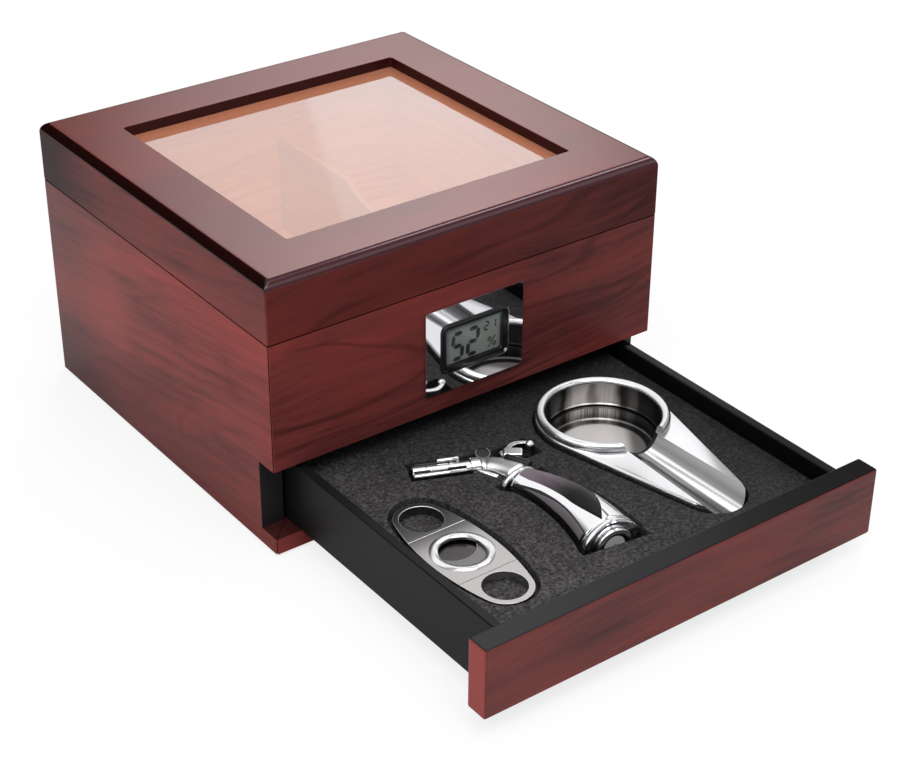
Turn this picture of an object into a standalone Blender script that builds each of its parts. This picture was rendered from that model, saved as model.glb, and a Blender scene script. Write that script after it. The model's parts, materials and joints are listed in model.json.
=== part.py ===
"""Desktop cigar humidor: glass-topped lid, cedar-lined chamber and a drawer of smoking tools.

Metres, +Z up. The origin is the middle of the underside and the front faces -Y.
The lid is shut and the drawer stands open. The drawer and what it holds are drawn
where they are when the drawer is shut, and an empty carries them out.
"""

import math

import bmesh
import bpy
from mathutils import Matrix, Vector
from mathutils.geometry import tessellate_polygon

# Case
CASE_WIDTH = 0.260
CASE_DEPTH = 0.247
CASE_HEIGHT = 0.165
PANEL = 0.014
PANEL_EASE = 0.0011
RIM_EASE = 0.0005
GLUE_GAP = 0.0003
OVERRUN = 0.003
FELT = 0.001
FELT_INSET = 0.003
BASE_BOARD = 0.0096
BAY_HEIGHT = 0.0426
CHAMBER_FLOOR = 0.004

# Cedar lining
CEDAR = 0.005
CEDAR_FLOOR = 0.003
CEDAR_EASE = 0.0008
LINING_LIP = 0.0065
DIVIDER = 0.004
DIVIDER_HEIGHT = 0.062
DIVIDER_PLAY = 0.0005
DIVIDER_AT = 0.022
SCOOP_WIDTH = 0.060
SCOOP_DEPTH = 0.011

# Lid
LID_HEIGHT = 0.036
SEAM = 0.0005
LID_WALL = 0.014
LID_TOP = 0.0062
LID_ROUND = 0.0056
WINDOW_BORDER = 0.036
WINDOW_CORNER = 0.003
WALL_CORNER = 0.0006
GLASS = 0.003

# Hinges
HINGE_APART_SHARE = 0.577
HINGE_WIDTH = 0.030
LEAF_LENGTH = 0.010
LEAF = 0.0011
KNUCKLE_RADIUS = 0.0024
KNUCKLE_STANDOFF = 0.0003
PIN_RADIUS = 0.0010
PIN_FIT = 0.00008
PIN_HEAD_RADIUS = 0.0019
PIN_HEAD = 0.0008
KNUCKLE_PLAY = 0.0003

# Humidifier on the left wall of the chamber
HUMIDIFIER_LENGTH = 0.096
HUMIDIFIER_HEIGHT = 0.038
HUMIDIFIER_DEPTH = 0.014
HUMIDIFIER_WALL = 0.0016
HUMIDIFIER_CORNER = 0.004
HUMIDIFIER_LIFT = 0.016
KEEPER = 0.001
KEEPER_SHARE = 0.6
GRILLE = 0.0018
SLOTS = 9
SLOT_WIDTH = 0.0045
SLOT_MARGIN = 0.006

# Hygrometer in the front panel
BEZEL_WIDTH = 0.066
BEZEL_HEIGHT = 0.052
BEZEL = 0.0014
BEZEL_CORNER = 0.0012
METER_WIDTH = 0.0455
METER_HEIGHT = 0.030
METER_CORNER = 0.004
METER_PROUD = 0.0030
METER_DEPTH = 0.0170
METER_FIT = 0.0005
FRAME_BORDER = 0.0032
FRAME_DEPTH = 0.0032
LENS = 0.0010
DISPLAY = 0.0010
CELL_RADIUS = 0.0100
CELL = 0.0032
METER_WALL = 0.0015
CELL_COVER = 0.0015

# Drawer
DRAWER_OPEN = 0.182
DRAWER_FRONT = 0.0137
DRAWER_FRONT_EASE = 0.0014
FRONT_REVEAL = 0.0008
DRAWER_SIDE_PLAY = 0.0015
DRAWER_TOP_PLAY = 0.0025
DRAWER_BACK_PLAY = 0.0015
DRAWER_WALL = 0.0055
DRAWER_WALL_EASE = 0.0006
DRAWER_BOTTOM = 0.003
BOTTOM_RISE = 0.0020
GROOVE = 0.0020
FOAM_DROP = 0.0110
FOAM_FIT = 0.0003

# Where the tools lie across the drawer: shares of the foam that they leave free
CUTTER_SIDE_SHARE = 0.1535
ASHTRAY_SIDE_SHARE = 0.2003
LIGHTER_GAP_SHARE = 0.1609
LIGHTER_SPREAD_LEFT = 0.0148
LIGHTER_SPREAD_RIGHT = 0.0242

# Ashtray, from the middle of its bowl
ASHTRAY_ALONG = 0.0125
ASHTRAY_REACH = 0.088
PLATE_RADIUS = 0.039
TAIL_RADIUS = 0.018
PLATE = 0.0100
PLATE_PROUD = 0.0030
PLATE_EASE = 0.0009
BOWL_RADIUS = 0.0340
BOWL_WALL = 0.0015
BOWL_DEPTH = 0.0250
BOWL_FLOOR = 0.0014
BOWL_STEP = 0.0022
BOWL_STEP_HEIGHT = 0.0080
RIM_RADIUS = 0.0376
RIM_HEIGHT = 0.0040
REST_WIDTH_IN = 0.022
REST_WIDTH_OUT = 0.031
REST_DEPTH_IN = 0.0060
REST_DEPTH_OUT = 0.0078
ASHTRAY_ROOM = 0.0012

# Cutter, from the middle of its ring
CUTTER_ALONG = -0.0386
CUTTER_WIDTH = 0.0395
FINGER_APART = 0.0704
FINGER_RADIUS = 0.0118
GRIP_RADIUS = 0.0150
FRAME_LENGTH = 0.0424
CUTTER_THICK = 0.0054
CUTTER_DROP = 0.0012
CIGAR_RADIUS = 0.0124
RING_RADIUS = 0.0170
RING_PROUD = 0.0010
BLADE = 0.0008
BLADE_GAP = 0.00035
BLADE_WIDTH = 0.0290
BLADE_ROOT = 0.0012
BLADE_OVERLAP = 0.0010
EDGE_RADIUS = 0.0130
PART_GAP = 0.00035
CUTTER_ROOM = 0.0028

# Jet lighter, from the middle of its neck, as it lies on its side
LIGHTER_ALONG = -0.0080
LIGHTER_AXIS_DROP = 0.0028
HANDLE_BEND = (0.0139, -0.0306)
HANDLE_END = (0.0026, -0.0692)
NECK_AIM = -90.0
FOOT_AIM = -98.0
NECK_WIDE = 0.0098
NECK_TALL = 0.0094
WAIST_WIDE = 0.0140
WAIST_TALL = 0.0122
FOOT_WIDE = 0.0174
FOOT_TALL = 0.0131
HANDLE_STATIONS = 12
INLAY = 0.0008
INLAY_GAP = 0.0003
INLAY_ARC = 58.0
INLAY_MIDDLES = (("left", 142.0), ("right", 42.0))
INLAY_START_SHARE = 0.02
INLAY_END_SHARE = 0.86
COLLAR_LENGTH = 0.0034
COLLAR_FLARE = 0.0014
GUARD_REACH = 0.0032
HEAD_START = (0.0020, 0.0042)
HEAD_RISE = 0.0080
HEAD_RUN = 0.0080
HEAD_END = (-0.0087, 0.0273)
HEAD_IN = 0.0076
HEAD_OUT = 0.0048
BARREL_AIM = 157.5
BARREL_LENGTH = 0.0380
BARREL_ROOT = 0.0036
BARREL_TIP = 0.0048
BARREL_BORE = 0.0031
BORE_DEPTH = 0.0140
KNURL_RADIUS = 0.0054
KNURL_LENGTH = 0.0060
CATCH_LENGTH = 0.0110
CATCH_WIDE = 0.0016
CATCH_TALL = 0.0034
CATCH_START_SHARE = 0.34
LEVER_SHARE = 0.62
LEVER_BOSS = 0.0026
LEVER_REACH = 0.0185
LEVER_RISE = 0.0044
LEVER_WIDE = 0.0022
LEVER_THICK = 0.0070
FLAME_WHEEL_RADIUS = 0.0108
FLAME_WHEEL = 0.0026
VALVE_RADIUS = 0.0064
VALVE = 0.0018
LIGHTER_ROOM = 0.0018

# Facets
CORNER_STEPS = 3
ROUND_STEPS = 4
SMALL_ROUND = 16
HOLE_ROUND = 28
BOWL_ROUND = 48
HANDLE_ROUND = 20
SHARP_DEGREES = 35.0

# Heights and faces that the sizes above give
BASE_LOW = FELT + GLUE_GAP
BASE_TOP = BASE_LOW + BASE_BOARD
BAY_TOP = BASE_TOP + BAY_HEIGHT
FLOOR_TOP = BAY_TOP + CHAMBER_FLOOR
CEDAR_LOW = FLOOR_TOP + GLUE_GAP
CHAMBER_LOW = CEDAR_LOW + CEDAR_FLOOR
RIM = CASE_HEIGHT - LID_HEIGHT
LID_LOW = RIM + SEAM
FLANGE_LOW = CASE_HEIGHT - LID_TOP
GLASS_TOP = FLANGE_LOW - GLUE_GAP
GLASS_LOW = GLASS_TOP - GLASS
LINING_TOP = RIM + LINING_LIP
HALF_WIDTH = CASE_WIDTH / 2
HALF_DEPTH = CASE_DEPTH / 2
INNER_X = HALF_WIDTH - PANEL
INNER_Y = HALF_DEPTH - PANEL
LINED_X = INNER_X - GLUE_GAP - CEDAR
LINED_Y = INNER_Y - GLUE_GAP - CEDAR
HINGE_Y = HALF_DEPTH + KNUCKLE_STANDOFF + KNUCKLE_RADIUS
HINGE_Z = RIM + SEAM / 2
METER_Z = (BAY_TOP + RIM) / 2
FRONT_Y = -HALF_DEPTH
DRAWER_HALF = INNER_X - DRAWER_SIDE_PLAY
DRAWER_LOW = BASE_TOP + GLUE_GAP
DRAWER_TOP = BAY_TOP - DRAWER_TOP_PLAY
DRAWER_REAR = INNER_Y - DRAWER_BACK_PLAY
FRONT_BACK_Y = FRONT_Y + DRAWER_FRONT
BOTTOM_LOW = DRAWER_LOW + BOTTOM_RISE
BOTTOM_TOP = BOTTOM_LOW + DRAWER_BOTTOM
FOAM_LOW = BOTTOM_TOP + FOAM_FIT
FOAM_TOP = DRAWER_TOP - FOAM_DROP
PLATE_TOP = FOAM_TOP + PLATE_PROUD
PLATE_LOW = PLATE_TOP - PLATE
RIM_TOP = PLATE_TOP + GLUE_GAP + RIM_HEIGHT
BOWL_LOW = RIM_TOP - BOWL_DEPTH - BOWL_FLOOR
CUTTER_TOP = FOAM_TOP - CUTTER_DROP
CUTTER_LOW = CUTTER_TOP - CUTTER_THICK
CUTTER_MID = (CUTTER_TOP + CUTTER_LOW) / 2
LIGHTER_Z = FOAM_TOP - LIGHTER_AXIS_DROP
HINGE_APART = CASE_WIDTH * HINGE_APART_SHARE
CUTTER_END = FINGER_APART / 2 + GRIP_RADIUS

# Where the tools lie, from the middle of the drawer
FOAM_HALF = DRAWER_HALF - DRAWER_WALL - FOAM_FIT
LIGHTER_SPREAD = LIGHTER_SPREAD_LEFT + LIGHTER_SPREAD_RIGHT
FREE_FOAM = 2 * (FOAM_HALF - PLATE_RADIUS) - CUTTER_WIDTH - LIGHTER_SPREAD
ASHTRAY_AT = (FOAM_HALF - FREE_FOAM * ASHTRAY_SIDE_SHARE - PLATE_RADIUS, ASHTRAY_ALONG)
CUTTER_AT = (CUTTER_WIDTH / 2 + FREE_FOAM * CUTTER_SIDE_SHARE - FOAM_HALF, CUTTER_ALONG)
LIGHTER_AT = (ASHTRAY_AT[0] - PLATE_RADIUS - FREE_FOAM * LIGHTER_GAP_SHARE
              - LIGHTER_SPREAD_RIGHT, LIGHTER_ALONG)


def clear_scene():
    """Start from an empty file."""
    for item in list(bpy.data.objects):
        bpy.data.objects.remove(item, do_unlink=True)


def finish(name, color, roughness, metallic=0.0, alpha=1.0):
    """One plain Principled material."""
    made = bpy.data.materials.new(name)
    made.use_nodes = True
    made.diffuse_color = (*color, alpha)
    shader = made.node_tree.nodes["Principled BSDF"]
    shader.inputs["Base Color"].default_value = (*color, 1.0)
    shader.inputs["Roughness"].default_value = roughness
    shader.inputs["Metallic"].default_value = metallic
    shader.inputs["Alpha"].default_value = alpha
    return made


def empty(name, location, parent=None):
    """A frame that carries the pieces that move together."""
    frame = bpy.data.objects.new(name, None)
    bpy.context.collection.objects.link(frame)
    frame.location = location
    frame.parent = parent
    return frame


def piece(name, shape, look, parent=None, origin=(0.0, 0.0, 0.0), smooth=False):
    """An object from (points, faces), with its origin at a point of its parent's frame."""
    points, faces = shape
    mesh = bpy.data.meshes.new(name)
    start = Vector(origin)
    mesh.from_pydata([Vector(point) - start for point in points], [], faces)
    shell = bmesh.new()
    shell.from_mesh(mesh)
    bmesh.ops.recalc_face_normals(shell, faces=shell.faces)
    shell.to_mesh(mesh)
    shell.free()
    mesh.materials.append(finish(name, *look))
    if smooth:
        mesh.shade_smooth()
        mesh.set_sharp_from_angle(angle=math.radians(SHARP_DEGREES))
    made = bpy.data.objects.new(name, mesh)
    bpy.context.collection.objects.link(made)
    made.location = start
    made.parent = parent
    return made


def ease(made, width, segments=2):
    """Round every sharp edge a little."""
    bevel = made.modifiers.new("eased_edges", "BEVEL")
    bevel.width = width
    bevel.segments = segments
    bevel.limit_method = "ANGLE"
    bevel.angle_limit = math.radians(SHARP_DEGREES)
    return made


def combine(made, shape, operation, name, parent=None):
    """Cut a shape out of a piece, or join it on, with a hidden guide object."""
    guide = piece(name, shape, GUIDE_LOOK, parent)
    guide.hide_render = True
    guide.display_type = "WIRE"
    boolean = made.modifiers.new(name, "BOOLEAN")
    boolean.operation = operation
    boolean.solver = "EXACT"
    boolean.object = guide
    return made


def place(u, v, w, axis):
    """A point of an outline (u, v) at w along the axis it is drawn out on."""
    return {"X": (w, u, v), "Y": (u, w, v), "Z": (u, v, w)}[axis]


def ring_walls(first, second, count):
    """Quads between two rings of equal count."""
    return [(first + i, first + (i + 1) % count, second + (i + 1) % count, second + i)
            for i in range(count)]


def cap(loops, first_indices):
    """Triangles over an outline with holes, as indices into the whole point list."""
    flat = [first + i for loop, first in zip(loops, first_indices) for i in range(len(loop))]
    triangles = tessellate_polygon([[Vector((u, v, 0.0)) for u, v in loop] for loop in loops])
    return [tuple(flat[i] for i in triangle) for triangle in triangles]


def prism(outline, low, high, axis="Z", holes=()):
    """A straight solid of one outline, with holes right through."""
    loops = [list(outline), *[list(hole) for hole in holes]]
    points, faces, low_starts, high_starts = [], [], [], []
    for loop in loops:
        low_starts.append(len(points))
        points += [place(u, v, low, axis) for u, v in loop]
        high_starts.append(len(points))
        points += [place(u, v, high, axis) for u, v in loop]
        faces += ring_walls(low_starts[-1], high_starts[-1], len(loop))
    faces += cap(loops, low_starts) + cap(loops, high_starts)
    return points, faces


def tray(outline, hollow, low, floor, high, axis="Z"):
    """A solid of one outline with a blind hollow that opens at high."""
    outline, hollow = list(outline), list(hollow)
    levels = ((outline, low), (outline, high), (hollow, high), (hollow, floor))
    points, starts = [], []
    for loop, level in levels:
        starts.append(len(points))
        points += [place(u, v, level, axis) for u, v in loop]
    faces = ring_walls(starts[0], starts[1], len(outline))
    faces += ring_walls(starts[2], starts[3], len(hollow))
    faces += cap([outline], [starts[0]]) + cap([outline, hollow], [starts[1], starts[2]])
    faces += cap([hollow], [starts[3]])
    return points, faces


def block(low, high):
    """A box from its lowest corner to its highest."""
    (x0, y0, z0), (x1, y1, z1) = low, high
    return prism([(x0, y0), (x1, y0), (x1, y1), (x0, y1)], z0, z1)


def rounded(half_u, half_v, radius, centre=(0.0, 0.0), steps=CORNER_STEPS):
    """The outline of a rectangle with round corners, anticlockwise."""
    points = []
    for turn, (sign_u, sign_v) in enumerate(((1, 1), (-1, 1), (-1, -1), (1, -1))):
        for step in range(steps + 1):
            angle = math.radians(90.0) * (turn + step / steps)
            points.append((centre[0] + sign_u * (half_u - radius) + radius * math.cos(angle),
                           centre[1] + sign_v * (half_v - radius) + radius * math.sin(angle)))
    return points


def circle(radius, steps, centre=(0.0, 0.0)):
    """A regular outline of a circle."""
    return [(centre[0] + radius * math.cos(math.tau * i / steps),
             centre[1] + radius * math.sin(math.tau * i / steps)) for i in range(steps)]


def loft(rings, closed=False):
    """A skin over rings of equal count, capped at both ends or closed on itself."""
    count = len(rings[0])
    points = [point for ring in rings for point in ring]
    last = len(rings) - 1
    faces = []
    for level in range(last + 1 if closed else last):
        following = (level + 1) % len(rings)
        faces += ring_walls(level * count, following * count, count)
    if not closed:
        faces += [tuple(range(count)), tuple(last * count + i for i in range(count))]
    return points, faces


def moved(shape, matrix):
    """The same shape somewhere else."""
    points, faces = shape
    return [tuple(matrix @ Vector(point)) for point in points], faces


def towards(at, direction):
    """The matrix that takes Z to a direction and the origin to a point."""
    turn = Vector(direction).to_track_quat("Z", "Y").to_matrix().to_4x4()
    return Matrix.Translation(Vector(at)) @ turn


MAHOGANY = ((0.16, 0.035, 0.028), 0.30)
EBONISED = ((0.018, 0.017, 0.018), 0.42)
CEDAR_LOOK = ((0.62, 0.33, 0.19), 0.60)
PLYWOOD = ((0.42, 0.30, 0.18), 0.65)
FELT_LOOK = ((0.02, 0.02, 0.02), 0.95)
FOAM_LOOK = ((0.035, 0.033, 0.035), 0.95)
CHROME = ((0.80, 0.80, 0.81), 0.08, 1.0)
BRUSHED = ((0.62, 0.60, 0.59), 0.30, 1.0)
BRASS = ((0.72, 0.55, 0.28), 0.25, 1.0)
BLACK_PLASTIC = ((0.015, 0.015, 0.016), 0.35)
GREY_DISPLAY = ((0.36, 0.39, 0.36), 0.40)
CLEAR = ((0.85, 0.90, 0.88), 0.05, 0.0, 0.35)
SPONGE = ((0.10, 0.22, 0.12), 0.90)
GUIDE_LOOK = ((0.8, 0.8, 0.8), 0.5)


def corner_arc(half_u, half_v, sign_u, along_u):
    """Half of the eased front corner, from a face to the mitre at 45 degrees, seen from above."""
    middle = (sign_u * (half_u - PANEL_EASE), -(half_v - PANEL_EASE))
    start = 90.0 if along_u else 0.0
    points = []
    for step in range(CORNER_STEPS):
        angle = math.radians(start + (45.0 - start) * step / (CORNER_STEPS - 1))
        points.append((middle[0] + sign_u * PANEL_EASE * math.cos(angle),
                       middle[1] - PANEL_EASE * math.sin(angle)))
    return points


def across_board(thickness, rear=False):
    """Seen from above, a board that runs in X between mitres: the front panel, or the back one."""
    shift = GLUE_GAP / math.sqrt(2)
    right = corner_arc(HALF_WIDTH, HALF_DEPTH, 1, True)
    right[-1] = (right[-1][0] - shift, right[-1][1])
    right.append((HALF_WIDTH - thickness - shift, -(HALF_DEPTH - thickness)))
    left = [(-x, y) for x, y in reversed(right)]
    outline = left + right
    return [(x, -y) for x, y in outline] if rear else outline


def side_board(sign):
    """Seen from above, a side panel with a mitre at each end."""
    shift = GLUE_GAP / math.sqrt(2)
    front = corner_arc(HALF_WIDTH, HALF_DEPTH, sign, False)
    front[-1] = (front[-1][0], front[-1][1] + shift)
    front.append((sign * (HALF_WIDTH - PANEL), -(HALF_DEPTH - PANEL) + shift))
    rear = [(x, -y) for x, y in reversed(front)]
    return front + rear


def base_outline():
    """The base board: its front edge is mitred like the front panel, the rest lies inside."""
    strip = across_board(PANEL)
    inside = INNER_X - GLUE_GAP
    rear = INNER_Y - GLUE_GAP
    front = -(HALF_DEPTH - PANEL) + GLUE_GAP
    return strip + [(inside, front), (inside, rear), (-inside, rear), (-inside, front)]


def make_case():
    """Base, four mitred panels and the floor between the chamber and the drawer bay."""
    felt_x, felt_y = HALF_WIDTH - FELT_INSET, HALF_DEPTH - FELT_INSET
    piece("base_felt", block((-felt_x, -felt_y, 0.0), (felt_x, felt_y, FELT)), FELT_LOOK)
    piece("base_board", prism(base_outline(), BASE_LOW, BASE_TOP), MAHOGANY)
    notch_low = (-(HALF_WIDTH + OVERRUN), FRONT_Y - OVERRUN, BASE_TOP)
    notch_high = (HALF_WIDTH + OVERRUN, FRONT_BACK_Y + FRONT_REVEAL, BAY_TOP)
    for side, sign in (("left", -1), ("right", 1)):
        panel = piece(f"side_panel_{side}", prism(side_board(sign), BASE_LOW, RIM), MAHOGANY)
        combine(panel, block(notch_low, notch_high), "DIFFERENCE", f"notch_{side}")
    hole = rounded(METER_WIDTH / 2 + METER_FIT, METER_HEIGHT / 2 + METER_FIT,
                   METER_CORNER + METER_FIT, (0.0, METER_Z))
    front = piece("front_panel", prism(across_board(PANEL), BAY_TOP, RIM), MAHOGANY)
    combine(front, prism(hole, FRONT_Y - OVERRUN, -INNER_Y + OVERRUN, "Y"), "DIFFERENCE",
            "meter_hole")
    piece("back_panel", prism(across_board(PANEL, rear=True), BASE_LOW, RIM), MAHOGANY)
    piece("chamber_floor",
          block((-(INNER_X - GLUE_GAP), -(INNER_Y - GLUE_GAP), BAY_TOP),
                (INNER_X - GLUE_GAP, INNER_Y - GLUE_GAP, FLOOR_TOP)), PLYWOOD)


def make_lining():
    """Cedar boards that stand above the rim so that the shut lid seals on them."""
    out_x, out_y = INNER_X - GLUE_GAP, INNER_Y - GLUE_GAP
    ease(piece("cedar_floor", block((-out_x, -out_y, CEDAR_LOW), (out_x, out_y, CHAMBER_LOW)),
               CEDAR_LOOK), CEDAR_EASE, 1)
    low = CHAMBER_LOW + GLUE_GAP
    for end, sign in (("front", -1), ("back", 1)):
        near, far = sorted((sign * LINED_Y, sign * out_y))
        board = piece(f"cedar_{end}", block((-out_x, near, low), (out_x, far, LINING_TOP)),
                      CEDAR_LOOK)
        if end == "front":
            hole = rounded(METER_WIDTH / 2 + METER_FIT, METER_HEIGHT / 2 + METER_FIT,
                           METER_CORNER + METER_FIT, (0.0, METER_Z))
            combine(board, prism(hole, -INNER_Y - OVERRUN, -LINED_Y + OVERRUN, "Y"),
                    "DIFFERENCE", "lining_meter_hole")
        ease(board, CEDAR_EASE, 1)
    reach = LINED_Y - GLUE_GAP
    for side, sign in (("left", -1), ("right", 1)):
        near, far = sorted((sign * LINED_X, sign * out_x))
        ease(piece(f"cedar_{side}", block((near, -reach, low), (far, reach, LINING_TOP)),
                   CEDAR_LOOK), CEDAR_EASE, 1)


def make_divider():
    """A loose cedar partition with a finger scoop, which slides along the chamber."""
    reach = LINED_Y - DIVIDER_PLAY
    low = CHAMBER_LOW + GLUE_GAP
    top = low + DIVIDER_HEIGHT
    half = SCOOP_WIDTH / 2
    radius = (half ** 2 + SCOOP_DEPTH ** 2) / (2 * SCOOP_DEPTH)
    sweep = math.asin(half / radius)
    scoop = []
    for step in range(HOLE_ROUND // 2 + 1):
        angle = sweep * (1 - 4 * step / HOLE_ROUND)
        scoop.append((radius * math.sin(angle),
                      top - SCOOP_DEPTH + radius * (1 - math.cos(angle))))
    outline = [(-reach, low), (reach, low), (reach, top), *scoop, (-reach, top)]
    shape = prism(outline, DIVIDER_AT - DIVIDER / 2, DIVIDER_AT + DIVIDER / 2, "X")
    piece("divider", shape, CEDAR_LOOK, origin=(DIVIDER_AT, 0.0, low))


def make_humidifier():
    """A sponge in a slotted case, held to a steel keeper on the left wall by its magnets."""
    middle = (0.0, CHAMBER_LOW + HUMIDIFIER_LIFT + HUMIDIFIER_HEIGHT / 2)
    half_y, half_z = HUMIDIFIER_LENGTH / 2, HUMIDIFIER_HEIGHT / 2
    wall = -LINED_X + GLUE_GAP
    keeper = rounded(half_y * KEEPER_SHARE, half_z * KEEPER_SHARE, HUMIDIFIER_CORNER, middle)
    piece("humidifier_keeper", prism(keeper, wall, wall + KEEPER, "X"), BRUSHED)
    back = wall + KEEPER + GLUE_GAP
    mouth = back + HUMIDIFIER_DEPTH
    outer = rounded(half_y, half_z, HUMIDIFIER_CORNER, middle)
    hollow = rounded(half_y - HUMIDIFIER_WALL, half_z - HUMIDIFIER_WALL,
                     HUMIDIFIER_CORNER - HUMIDIFIER_WALL, middle)
    piece("humidifier_case", tray(outer, hollow, back, back + HUMIDIFIER_WALL, mouth, "X"),
          BLACK_PLASTIC)
    inset = HUMIDIFIER_WALL + GLUE_GAP
    sponge = rounded(half_y - inset, half_z - inset, HUMIDIFIER_CORNER - inset, middle)
    seat = back + HUMIDIFIER_WALL + GLUE_GAP
    piece("humidifier_sponge", prism(sponge, seat, mouth, "X"), SPONGE)
    pitch = (HUMIDIFIER_LENGTH - 2 * SLOT_MARGIN) / SLOTS
    slots = []
    for index in range(SLOTS):
        at = -half_y + SLOT_MARGIN + pitch * (index + 0.5)
        slots.append(rounded(SLOT_WIDTH / 2, half_z - SLOT_MARGIN, SLOT_WIDTH / 2,
                             (at, middle[1])))
    face = mouth + GLUE_GAP
    piece("humidifier_grille", prism(outer, face, face + GRILLE, "X", slots), BLACK_PLASTIC)


def make_hygrometer():
    """A digital hygrometer pushed through the front panel, with a chrome bezel round it."""
    at = (0.0, METER_Z)
    half_x, half_z = METER_WIDTH / 2, METER_HEIGHT / 2
    body = rounded(half_x, half_z, METER_CORNER, at)
    hole = rounded(half_x + METER_FIT, half_z + METER_FIT, METER_CORNER + METER_FIT, at)
    plate = rounded(BEZEL_WIDTH / 2, BEZEL_HEIGHT / 2, BEZEL_CORNER, at)
    seat = FRONT_Y - GLUE_GAP
    piece("hygrometer_bezel", prism(plate, seat - BEZEL, seat, "Y", [hole]), CHROME)
    front = FRONT_Y - METER_PROUD
    back = front + FRAME_DEPTH
    opening = rounded(half_x - FRAME_BORDER, half_z - FRAME_BORDER, FRAME_BORDER / 2, at)
    piece("hygrometer_frame", prism(body, front, back, "Y", [opening]), BLACK_PLASTIC)
    inset = FRAME_BORDER + GLUE_GAP
    pane = rounded(half_x - inset, half_z - inset, FRAME_BORDER / 2, at)
    glass_back = back - GLUE_GAP - DISPLAY
    piece("hygrometer_display", prism(pane, glass_back, back, "Y"), GREY_DISPLAY)
    lens_back = glass_back - GLUE_GAP
    piece("hygrometer_lens", prism(pane, lens_back - LENS, lens_back, "Y"), CLEAR)
    rear = FRONT_Y + METER_DEPTH
    shut = rear - GLUE_GAP - CELL_COVER
    floor = shut - CELL - GLUE_GAP
    case_front = back + GLUE_GAP
    hollow = circle(CELL_RADIUS + METER_FIT, HOLE_ROUND, at)
    piece("hygrometer_case", tray(body, hollow, case_front, floor, shut, "Y"), BLACK_PLASTIC)
    cell = circle(CELL_RADIUS, HOLE_ROUND, at)
    piece("hygrometer_cell", prism(cell, floor + GLUE_GAP, shut - GLUE_GAP / 2, "Y"), BRUSHED)
    cover = rounded(half_x - METER_WALL, half_z - METER_WALL, METER_CORNER - METER_WALL, at)
    piece("hygrometer_cell_cover", prism(cover, shut + GLUE_GAP, rear, "Y"), BLACK_PLASTIC)


def make_lid(hinge):
    """The veneered frame, its pane and the cedar boards that hold the pane up, all on the hinge."""
    low, top = LID_LOW - HINGE_Z, CASE_HEIGHT - HINGE_Z
    profile = [(RIM_EASE, low, PANEL_EASE), (0.0, low + RIM_EASE, PANEL_EASE)]
    for step in range(ROUND_STEPS + 1):
        angle = math.radians(90.0) * step / ROUND_STEPS
        profile.append((LID_ROUND * (1 - math.cos(angle)),
                        top - LID_ROUND * (1 - math.sin(angle)), PANEL_EASE))
    flange = FLANGE_LOW - HINGE_Z
    profile += [(WINDOW_BORDER - RIM_EASE, top, WINDOW_CORNER),
                (WINDOW_BORDER, top - RIM_EASE, WINDOW_CORNER),
                (WINDOW_BORDER, flange, WINDOW_CORNER),
                (LID_WALL, flange, WALL_CORNER), (LID_WALL, low, WALL_CORNER)]
    rings = []
    for inset, height, radius in profile:
        outline = rounded(HALF_WIDTH - inset, HALF_DEPTH - inset, radius, (0.0, -HINGE_Y))
        rings.append([(x, y, height) for x, y in outline])
    frame = piece("lid_frame", loft(rings, closed=True), MAHOGANY, hinge)
    leaf_room = LEAF + SEAM
    for side, at in hinge_places():
        mortise = block((at - HINGE_WIDTH / 2 - GLUE_GAP, HALF_DEPTH - HINGE_Y - LEAF_LENGTH,
                         low - OVERRUN),
                        (at + HINGE_WIDTH / 2 + GLUE_GAP, OVERRUN, low + leaf_room))
        combine(frame, mortise, "DIFFERENCE", f"lid_mortise_{side}", hinge)
    in_x, in_y = HALF_WIDTH - LID_WALL - GLUE_GAP, HALF_DEPTH - LID_WALL - GLUE_GAP
    pane_low, pane_top = GLASS_LOW - HINGE_Z, GLASS_TOP - HINGE_Z
    piece("lid_glass", block((-in_x, -in_y - HINGE_Y, pane_low), (in_x, in_y - HINGE_Y, pane_top)),
          CLEAR, hinge)
    board_low = LINING_TOP + GLUE_GAP - HINGE_Z
    board_top = pane_low - GLUE_GAP
    for end, sign in (("front", -1), ("back", 1)):
        near, far = sorted((sign * (in_y - CEDAR), sign * in_y))
        ease(piece(f"lid_cedar_{end}", block((-in_x, near - HINGE_Y, board_low),
                                             (in_x, far - HINGE_Y, board_top)),
                   CEDAR_LOOK, hinge), CEDAR_EASE, 1)
    reach = in_y - CEDAR - GLUE_GAP
    for side, sign in (("left", -1), ("right", 1)):
        near, far = sorted((sign * (in_x - CEDAR), sign * in_x))
        ease(piece(f"lid_cedar_{side}", block((near, -reach - HINGE_Y, board_low),
                                              (far, reach - HINGE_Y, board_top)),
                   CEDAR_LOOK, hinge), CEDAR_EASE, 1)


def hinge_places():
    """The middle of each hinge along the back edge."""
    return (("left", -HINGE_APART / 2), ("right", HINGE_APART / 2))


def leaf_shape(at, upper):
    """A hinge leaf in the mortise with its knuckles: two at the ends, or the upper's in the middle."""
    sign = 1 if upper else -1
    plate_near = sign * (SEAM / 2 - GLUE_GAP / 2)
    plate_far = plate_near + sign * LEAF
    low, high = sorted((plate_near, plate_far))
    half = HINGE_WIDTH / 2
    third = HINGE_WIDTH / 3
    back = HALF_DEPTH - HINGE_Y
    if upper:
        spans = [(-third / 2 + KNUCKLE_PLAY, third / 2 - KNUCKLE_PLAY)]
    else:
        spans = [(-half, -third / 2), (third / 2, half)]
    plate = block((at - half, back - LEAF_LENGTH + GLUE_GAP, low), (at + half, back, high))
    knuckles = []
    for start, end in spans:
        tongue = block((at + start, back - LEAF_LENGTH / 2, low), (at + end, 0.0, high))
        barrel = prism(circle(KNUCKLE_RADIUS, SMALL_ROUND), at + start, at + end, "X")
        knuckles.append((tongue, barrel))
    return plate, knuckles


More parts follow.
